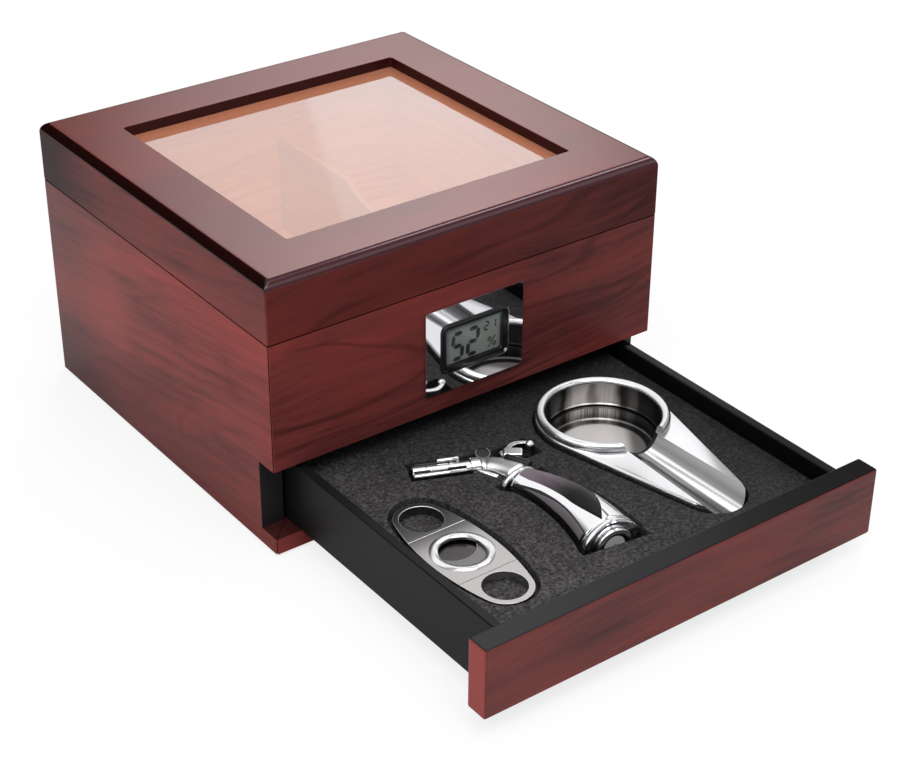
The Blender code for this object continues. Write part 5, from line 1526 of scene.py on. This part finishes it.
def make_barrel(chrome, black):
    """The burner tube: knurled root, tapered tube with two bands, open mouth and the catch."""
    aim = pointing(BARREL_AIM)
    across = square_to(aim)
    root = NECK_AT + Vector(HEAD_END) + aim * GLUE_GAP + across * BARREL_FORWARD
    level = LIGHTER_Z + BARREL_RISE
    at, way = Vector((root.x, root.y, level)), Vector((aim.x, aim.y, 0.0))
    neck, end = KNURL_LENGTH + KNURL_RADIUS - BARREL_ROOT, BARREL_LENGTH
    slope = (BARREL_TIP - BARREL_ROOT) / (end - neck)

    def tube(height):
        return BARREL_ROOT + slope * (height - neck)

    def on_tube(height, turn, out):
        """A point at a height along the tube, turned up from its front side."""
        reach = tube(height) + out
        plan = root + aim * height + across * reach * math.cos(turn)
        return Vector((plan.x, plan.y, level + reach * math.sin(turn)))

    def bar(first, last, turn, outs, radius):
        """A rod along the tube, with how far its two ends stand out and its radius in mm."""
        return rod(on_tube(first, turn, outs[0] * MM), on_tube(last, turn, outs[1] * MM),
                   radius * MM)

    profile = [(0.0, 0.0), (KNURL_RADIUS - 0.5 * MM, 0.0), (KNURL_RADIUS, 0.5 * MM),
               (KNURL_RADIUS, KNURL_LENGTH - 0.6 * MM), (KNURL_RADIUS - 0.7 * MM, KNURL_LENGTH),
               (BARREL_ROOT + 0.2 * MM, neck - 0.4 * MM), (tube(neck + 2 * MM), neck + 2 * MM)]
    for height in (end * 0.45, end * 0.78):
        profile += [(tube(height) - depth, height + up)
                    for depth, up in in_mm((0, 0), (0.35, 0.2), (0.35, 0.7), (0, 0.9))]
    profile += [(BARREL_TIP, end - 0.5 * MM), (BARREL_TIP - 0.4 * MM, end),
                (BARREL_BORE + 0.3 * MM, end), (BARREL_BORE, end - 0.3 * MM),
                (BARREL_BORE, end - BORE_DEPTH), (0.0, end - BORE_DEPTH)]
    barrel = piece("lighter_barrel_chrome", turned_to(lathe(profile, 64), at, way), "lighter",
                   chrome, "lighter_barrel", 30)

    def in_bore(middle, _):
        away = middle - at
        along = away.dot(way)
        return along > end - BORE_DEPTH - MM and (away - way * along).length < BARREL_BORE

    repaint(barrel, black, in_bore)
    first, last = neck + 1.5 * MM, end - 0.6 * MM
    ribs = [end * 0.50 + index * 1.1 * MM for index in range(9)]
    line = bar(first, last, LINE_TURN, (-0.2, -0.2), 0.75)
    rail = bar(first, last, RAIL_TURN, (-0.7, -0.7), 1.5)
    grip = joined(*(bar(rib, rib + 0.7 * MM, LINE_TURN, (0, 0), 1.25) for rib in ribs))
    for name, shape, finish in (("line", line, black), ("rail", rail, chrome),
                                ("ribs", grip, chrome)):
        trim(f"lighter_barrel_{name}", shape, "lighter", finish, 30)
    make_knob(black)
    tooth = block((KNURL_RADIUS - 0.25 * MM, -0.32 * MM, 0.9 * MM),
                  (KNURL_RADIUS + 0.18 * MM, 0.32 * MM, KNURL_LENGTH - MM))
    teeth = [moved(tooth, Matrix.Rotation(math.tau * index / KNURL_TEETH, 4, "Z"))
             for index in range(KNURL_TEETH)]
    trim("lighter_barrel_knurl", turned_to(joined(*teeth), at, way), "lighter", chrome)
    catch = bar(end * 0.30, end * 0.62, CATCH_TURN, (1.3, 1.0), 1.5)
    piece("lighter_catch_chrome", catch, "lighter", chrome, "lighter_catch", 40)
    slot = bar(end * 0.34, end * 0.95, SLOT_TURN, (0.1, 0.1), 0.9)
    trim("lighter_catch_slot", slot, "lighter", black, 40)


def make_lever(chrome):
    """The thumb lever: a hooked plate on a round boss, its tip and a square shoe on the head."""
    centre, heading = head_path(LEVER_SHARE)
    away = HEAD_IN + (HEAD_OUT - HEAD_IN) * LEVER_SHARE + GLUE_GAP + LEVER_BOSS
    pivot = NECK_AT + centre - square_to(heading) * away
    boss = [(LEVER_BOSS * math.cos(angle), LEVER_BOSS * math.sin(angle))
            for angle in (math.radians(90.0 + 12.0 * step) for step in range(16))]
    lower, upper = [], []
    for share in shares(32):
        x = LEVER_BOSS * 0.5 + (LEVER_REACH - LEVER_BOSS * 0.5) * share
        y = LEVER_RISE * math.sin(math.pi * share)
        half = LEVER_WIDE / 2 * (1.6 - 0.4 * share)
        lower.append((x, y - half))
        upper.append((x, y + half))
    outline = [point for point in boss if point[0] < LEVER_BOSS * 0.5] + lower + upper[::-1]
    shape = prism(shifted(outline, pivot), LIGHTER_Z - LEVER_THICK / 2,
                  LIGHTER_Z + LEVER_THICK / 2 + LEVER_LIFT)
    lever = piece("lighter_lever_chrome", shape, "thumb_lever", chrome, "lighter_lever")
    soften(lever, 0.9 * MM, 4)
    bead = lathe(in_mm((0, -2.4), (1.6, -1.9), (2.4, -0.8), (2.5, 0.2), (2.2, 1.3), (1.3, 2.1),
                       (0, 2.4)), 32)
    tip_at = (pivot.x + LEVER_REACH - 1.2 * MM, pivot.y - 0.5 * MM, LIGHTER_Z + 4.4 * MM)
    trim("lighter_lever_tip", turned_to(bead, tip_at, (0, 0, 1)), "thumb_lever", chrome,
         60)
    turn = Matrix.Rotation(math.radians(SHOE_AIM), 4, "Z")
    shoe = moved(block(*in_mm((-5.4, -3.6, 1.5), (5.4, 3.6, 7.2))),
                 Matrix.Translation(on_lighter(*SHOE_AT)) @ turn)
    soften(trim("lighter_lever_shoe", shoe, "thumb_lever", chrome), 1.1 * MM, 3)


def make_foot(looks, chrome, black):
    """The flame wheel, chrome outside and black within, and the pale fill valve inside it."""
    foot, facing = handle_frame(1.0)
    seat = NECK_AT + foot + facing * GLUE_GAP
    at, way = Vector((seat.x, seat.y, LIGHTER_Z)), Vector((facing.x, facing.y, 0.0))
    hole = VALVE_RADIUS + GLUE_GAP
    lip = FLAME_WHEEL_RADIUS - hole
    profile = [(0.0, lip), *in_mm((0, 0.8), (0.5, 0.2), (1.1, 0), (1.8, 0.1), (2.3, 0.5)),
               (FLAME_WHEEL, 1.2 * MM), (FLAME_WHEEL, lip * 0.60),
               (FLAME_WHEEL - 0.7 * MM, lip * 0.68), (FLAME_WHEEL - 0.7 * MM, lip)]
    rings = [lay(circle(FLAME_WHEEL_RADIUS - inset), depth) for depth, inset in profile]
    wheel = piece("lighter_flame_wheel_rimmed", turned_to(loft(rings, closed=True), at, way),
                  "flame_wheel", chrome, "lighter_flame_wheel", 40)

    def within(middle, _):
        away = middle - at
        return (away - way * away.dot(way)).length < FLAME_WHEEL_RADIUS - lip * 0.58

    repaint(wheel, black, within)
    profile = [(0.0, 0.0), (VALVE_RADIUS, 0.0), (VALVE_RADIUS, VALVE - 0.3 * MM),
               (VALVE_RADIUS - 0.3 * MM, VALVE), (1.6 * MM, VALVE), (1.4 * MM, VALVE - 0.5 * MM),
               (0.9 * MM, VALVE - 0.5 * MM), (0.8 * MM, VALVE - 0.1 * MM), (0.0, VALVE - 0.1 * MM)]
    piece("lighter_fill_valve_plate", turned_to(lathe(profile, 64), at, way), "lighter",
          satin_paint("valve_plate", looks.valve, 0.35, 0.03), "lighter_fill_valve", 30)


def make_lighter(looks):
    """The jet lighter: handle, inlays, collar, head, barrel, lever, valve and flame wheel."""
    chrome = polished("lighter_chrome", looks.chrome, 0.045, 0.03)
    black = satin_paint("lighter_black", (0.006, 0.006, 0.007), 0.25, 0.03)
    make_handle(looks, chrome, black)
    make_collar(chrome)
    make_head(chrome, black)
    make_barrel(chrome, black)
    make_lever(chrome)
    make_foot(looks, chrome, black)


# The stage

AIM = Vector((0.0, -0.08, 0.08))


def seen_from(azimuth, elevation, distance):
    """A place round the object: azimuth from +X towards +Y, elevation above the floor."""
    a, e = math.radians(azimuth), math.radians(elevation)
    return Vector((distance * math.cos(a) * math.cos(e), distance * math.sin(a) * math.cos(e),
                   distance * math.sin(e)))


def aimed(name, data, at):
    """A lamp or a card that faces the object from a place."""
    made = placed(name, data)
    made.location = at
    made.rotation_mode = "QUATERNION"
    made.rotation_quaternion = (AIM - at).to_track_quat("-Z", "Y")
    return made


def softbox(name, at, size, strength, tint=(1.0, 1.0, 1.0)):
    """A soft lamp of a size in metres; its strength is how bright its face looks."""
    lamp = bpy.data.lights.new(name, "AREA")
    lamp.shape = "RECTANGLE"
    lamp.size, lamp.size_y = size
    lamp.energy = strength * math.pi * size[0] * size[1]
    lamp.color = tint
    aimed(name, lamp, at).visible_camera = False


def sheet(name, corners, finish):
    mesh = bpy.data.meshes.new(name)
    mesh.from_pydata(corners, [], [(0, 1, 2, 3)])
    mesh.materials.append(finish)
    return mesh


def oblong(half_u, half_v):
    return [(-half_u, -half_v, 0), (half_u, -half_v, 0), (half_u, half_v, 0),
            (-half_u, half_v, 0)]


def as_card(made):
    """Let gloss alone see a card, for the bands in plated metal."""
    made.visible_camera = made.visible_diffuse = made.visible_shadow = False
    made.visible_transmission = False


def make_stage(looks):
    """The pale floor, the soft lamps, the cards, the air and the camera."""
    scene = bpy.context.scene
    paint = pale_floor("studio_floor_paint", looks.floor, looks.floor_share, looks.floor_glow)
    floor = placed("studio_floor", sheet("studio_floor", oblong(FLOOR_REACH, FLOOR_REACH), paint))
    floor.location.z = -FLOOR_DROP
    softbox("rear_wide_softbox", seen_from(55, 32.5, 1.9), (0.74, 0.84), looks.rear)
    softbox("rear_high_softbox", seen_from(51, 43, 1.85), (0.44, 0.50), looks.rear_high)
    softbox("front_softbox", seen_from(-112, 58, 1.7), (1.3, 0.8), looks.key)
    softbox("right_softbox", seen_from(2, 57, 1.8), (0.36, 0.5), looks.right, (1.0, 0.86, 0.93))
    softbox("window_softbox", seen_from(-60, 80, 1.7), (0.8, 0.8), looks.window)
    softbox("left_softbox", seen_from(195, 42, 2.0), (1.2, 0.8), looks.side)
    black, lit = card_black("card_black"), card_lit("card_lit", 1.2)
    for name, at, (wide, tall), finish in (
            ("card_back_left", seen_from(105, 24, 1.8), (3.2, 1.7), black),
            ("card_camera", seen_from(233, 33, 2.2), (0.8, 0.7), black),
            ("card_right", seen_from(-53, 34, 2.2), (1.1, 0.9), lit)):
        as_card(aimed(name, sheet(name, oblong(wide / 2, tall / 2), finish), at))
    y, half, low, high = FRONT_Y - 2.1 * MM, 0.20, 0.052, 0.30
    corners = [(-half, y, low), (half, y, low), (half, y, high), (-half, y, high)]
    white = card_white("card_white", looks.card)
    as_card(placed("card_before_case", sheet("card_before_case", corners, white)))
    scene.world = bpy.data.worlds.new("studio_air")
    scene.world.use_nodes = True
    air = Finish("studio_air", scene.world.node_tree)
    strength = air.seen_directly() * (1.0 - looks.fill) + looks.fill
    back = air.add("ShaderNodeBackground", inputs={"Color": grey(1.0), "Strength": strength})
    air.add("ShaderNodeOutputWorld", inputs={"Surface": back})
    make_camera(scene)
    scene.view_settings.view_transform = "Standard"


def make_camera(scene):
    """A camera where the photograph's stood."""
    a, e = math.radians(CAMERA_AZIMUTH), math.radians(CAMERA_ELEVATION)
    ahead = Vector((math.sin(a) * math.cos(e), math.cos(a) * math.cos(e), -math.sin(e)))
    right = Vector((math.cos(a), -math.sin(a), 0.0))
    up = right.cross(ahead)
    roll = math.radians(CAMERA_ROLL)
    right, up = (right * math.cos(roll) + up * math.sin(roll),
                 up * math.cos(roll) - right * math.sin(roll))
    camera = placed("photo_camera", bpy.data.cameras.new("photo_camera"))
    turn = Matrix((right, up, -ahead)).transposed()
    camera.matrix_world = Matrix.Translation(Vector(CAMERA_AT)) @ turn.to_4x4()
    camera.data.lens, camera.data.sensor_width = CAMERA_LENS, SENSOR
    camera.data.clip_start, camera.data.clip_end = 0.01, 50.0
    scene.camera = camera


# Properties, operators and panel

def swatch(name, description, *levels):
    """A colour property; its default is given as a screen shows it."""
    return FloatVectorProperty(name=name, description=description, subtype="COLOR", size=3,
                               min=0.0, max=1.0, default=tone(*levels)[:3])


def amount(name, description, default, most, **more):
    return FloatProperty(name=name, description=description, default=default, min=0.0, max=most,
                         **more)


class HumidorWood(bpy.types.PropertyGroup):
    """Colours and finish of the wood."""

    veneer_dark: swatch("Veneer dark", "Dark streaks of the veneer", 62, 29, 29)
    veneer_middle: swatch("Veneer", "Main colour of the veneer", 92, 42, 40)
    veneer_red: swatch("Veneer red", "Red patches of the veneer", 113, 47, 43)
    cedar_light: swatch("Cedar light", "Pale grain of the cedar", 228, 168, 122)
    cedar_dark: swatch("Cedar dark", "Dark grain of the cedar", 204, 136, 92)
    # The lid's round edge colours are painted reflection, darker than its veneer.
    edge_painted_dark: swatch("Lid edge", "Stained round edge of the lid", 26, 8, 7)
    edge_front_painted: swatch("Lid front edge", "Round edge at the lid's front", 58, 20, 28)
    # The pane veil is painted light standing in for the lit cedar behind the glass.
    veil: amount("Pane veil", "Share of warm haze in the lid's pane", 0.74, 2.0)
    window_wall: swatch("Window wall", "Inside of the lid's opening", 46, 8, 6)
    lacquer_blur: amount("Lacquer blur", "Roughness of the side lacquer", 0.30, 1.0,
                         subtype="FACTOR")
    top_blur: amount("Top blur", "Roughness of the lid's top lacquer", 0.32, 1.0,
                     subtype="FACTOR")
    edge_round: amount("Edge round", "Radius of the eased panel edges", 0.0004, 0.002,
                       unit="LENGTH", precision=5)


class HumidorDrawer(bpy.types.PropertyGroup):
    """Colours of the drawer."""

    paint: swatch("Drawer paint", "Satin black of the drawer box", 15, 15, 16)
    foam_dark: swatch("Foam dark", "Cells of the foam", 22, 21, 22)
    foam_light: swatch("Foam light", "Skin of the foam", 68, 66, 68)
    foam_edge: amount("Foam edge", "Radius of the foam's cut edges", 0.0007, 0.003,
                      unit="LENGTH", precision=5)


class HumidorMetal(bpy.types.PropertyGroup):
    """Colours of the metal and the display."""

    chrome: swatch("Chrome", "Polished plate", 236, 236, 238)
    steel: swatch("Steel", "Satin and turned steel", 206, 203, 201)
    satin: swatch("Satin steel", "Flat faces of the cutter", 188, 185, 184)
    blade: swatch("Blade", "Ground face of the upper blade", 132, 129, 130)
    # The lower blade's copy is darker: painted shade.
    blade_low: swatch("Lower blade", "Ground face of the lower blade", 92, 88, 90)
    # Paler steel on the bevelled edges of the cutter and the bezel: painted highlight.
    edge: swatch("Steel edge", "Polished edges of the cutter", 250, 250, 250)
    brass: swatch("Brass", "Hinges", 212, 178, 110)
    # The colour of the inlay's painted sheen.
    smoke: swatch("Smoked inlay", "Sheen of the lighter's inlay", 124, 112, 120)
    inlay_grey: swatch("Grey inlay", "Centre of the lower inlay", 96, 92, 96)
    valve: swatch("Valve plate", "Plate round the fill valve", 190, 188, 188)
    display: swatch("Display", "Grey of the display", 150, 152, 149)
    reading: IntProperty(name="Reading", description="Two generic figures on the display",
                         default=52, min=10, max=99)


class HumidorStage(bpy.types.PropertyGroup):
    """Floor and lamps."""

    floor: FloatVectorProperty(name="Floor", description="Colour of the floor", size=3,
                               subtype="COLOR", min=0.0, max=1.0, default=(0.82, 0.82, 0.82))
    floor_share: amount("Floor white", "Share of plain white in the floor", 0.72, 1.0,
                        subtype="FACTOR")
    floor_glow: amount("Floor glow", "Brightness of that white", 1.1, 2.0)
    rear: amount("Rear lamp", "Brightness of the wide rear softbox", 1.7, 20.0)
    rear_high: amount("High rear lamp", "Brightness of the one above it", 4.0, 20.0)
    window: amount("Top lamp", "Brightness of the lamp over the window", 1.6, 20.0)
    key: amount("Front lamp", "Brightness of the softbox over the front", 3.5, 20.0)
    right: amount("Right lamp", "Brightness of the small right softbox", 6.0, 20.0)
    side: amount("Left lamp", "Brightness of the left softbox", 2.2, 20.0)
    card: amount("Card", "Brightness of the card that the tools mirror", 1.12, 4.0)
    fill: amount("Fill", "Brightness of the air for diffuse light", 0.40, 2.0)


class HUMIDOR_OT_case(bpy.types.Operator):
    """Veneer the case and finish its cedar lining"""

    bl_idname = "humidor.case"
    bl_label = "Case and lining"

    def execute(self, context):
        make_case(context.scene.humidor_wood)
        return {"FINISHED"}


class HUMIDOR_OT_lid(bpy.types.Operator):
    """Build the lid's rounded frame and its pane"""

    bl_idname = "humidor.lid"
    bl_label = "Lid"

    def execute(self, context):
        make_lid(context.scene.humidor_wood)
        make_hinges(context.scene.humidor_metal)
        return {"FINISHED"}


class HUMIDOR_OT_instruments(bpy.types.Operator):
    """Build the hygrometer and finish the humidifier"""

    bl_idname = "humidor.instruments"
    bl_label = "Hygrometer and humidifier"

    def execute(self, context):
        make_hygrometer(context.scene.humidor_metal)
        make_humidifier(context.scene.humidor_metal)
        return {"FINISHED"}


class HUMIDOR_OT_drawer(bpy.types.Operator):
    """Build the drawer front and the foam insert"""

    bl_idname = "humidor.drawer"
    bl_label = "Drawer and foam"

    def execute(self, context):
        make_drawer(context.scene.humidor_drawer, context.scene.humidor_wood)
        return {"FINISHED"}


class HUMIDOR_OT_ashtray(bpy.types.Operator):
    """Build the ashtray's plate and bowl"""

    bl_idname = "humidor.ashtray"
    bl_label = "Ashtray"

    def execute(self, context):
        make_ashtray(context.scene.humidor_metal)
        return {"FINISHED"}


class HUMIDOR_OT_cutter(bpy.types.Operator):
    """Build the cutter's frame, grips and blades"""

    bl_idname = "humidor.cutter"
    bl_label = "Cutter"

    def execute(self, context):
        make_cutter(context.scene.humidor_metal)
        return {"FINISHED"}


class HUMIDOR_OT_lighter(bpy.types.Operator):
    """Build the jet lighter"""

    bl_idname = "humidor.lighter"
    bl_label = "Lighter"

    def execute(self, context):
        make_lighter(context.scene.humidor_metal)
        return {"FINISHED"}


class HUMIDOR_OT_stage(bpy.types.Operator):
    """Set up the floor, the lamps and the camera"""

    bl_idname = "humidor.stage"
    bl_label = "Stage"

    def execute(self, context):
        make_stage(context.scene.humidor_stage)
        return {"FINISHED"}


OPERATORS = (HUMIDOR_OT_case, HUMIDOR_OT_lid, HUMIDOR_OT_instruments, HUMIDOR_OT_drawer,
             HUMIDOR_OT_ashtray, HUMIDOR_OT_cutter, HUMIDOR_OT_lighter, HUMIDOR_OT_stage)
GROUPS = {"humidor_wood": HumidorWood, "humidor_drawer": HumidorDrawer,
          "humidor_metal": HumidorMetal, "humidor_stage": HumidorStage}


class HUMIDOR_PT_looks(bpy.types.Panel):
    """Lists the humidor's operators and their sizes and colours."""

    bl_label = "Humidor"
    bl_idname = "HUMIDOR_PT_looks"
    bl_space_type = "VIEW_3D"
    bl_region_type = "UI"
    bl_category = "Humidor"

    def draw(self, context):
        for operator in OPERATORS:
            self.layout.operator(operator.bl_idname)
        for name, kind in GROUPS.items():
            box = self.layout.box()
            for key in kind.__annotations__:
                box.prop(getattr(context.scene, name), key)


CLASSES = (*GROUPS.values(), *OPERATORS, HUMIDOR_PT_looks)


def register():
    for kind in CLASSES:
        bpy.utils.register_class(kind)
    for name, kind in GROUPS.items():
        setattr(bpy.types.Scene, name, PointerProperty(type=kind))


def unregister():
    for name in GROUPS:
        delattr(bpy.types.Scene, name)
    for kind in reversed(CLASSES):
        bpy.utils.unregister_class(kind)


def main():
    register()
    kept = set(NODES.values()) | set(frame["bodies"].values())
    for item in list(bpy.data.objects):
        if item not in kept:
            bpy.data.objects.remove(item, do_unlink=True)
    bpy.ops.humidor.case()
    bpy.ops.humidor.lid()
    bpy.ops.humidor.instruments()
    bpy.ops.humidor.drawer()
    bpy.ops.humidor.ashtray()
    bpy.ops.humidor.cutter()
    bpy.ops.humidor.lighter()
    bpy.ops.humidor.stage()


if __name__ == "__main__":
    main()
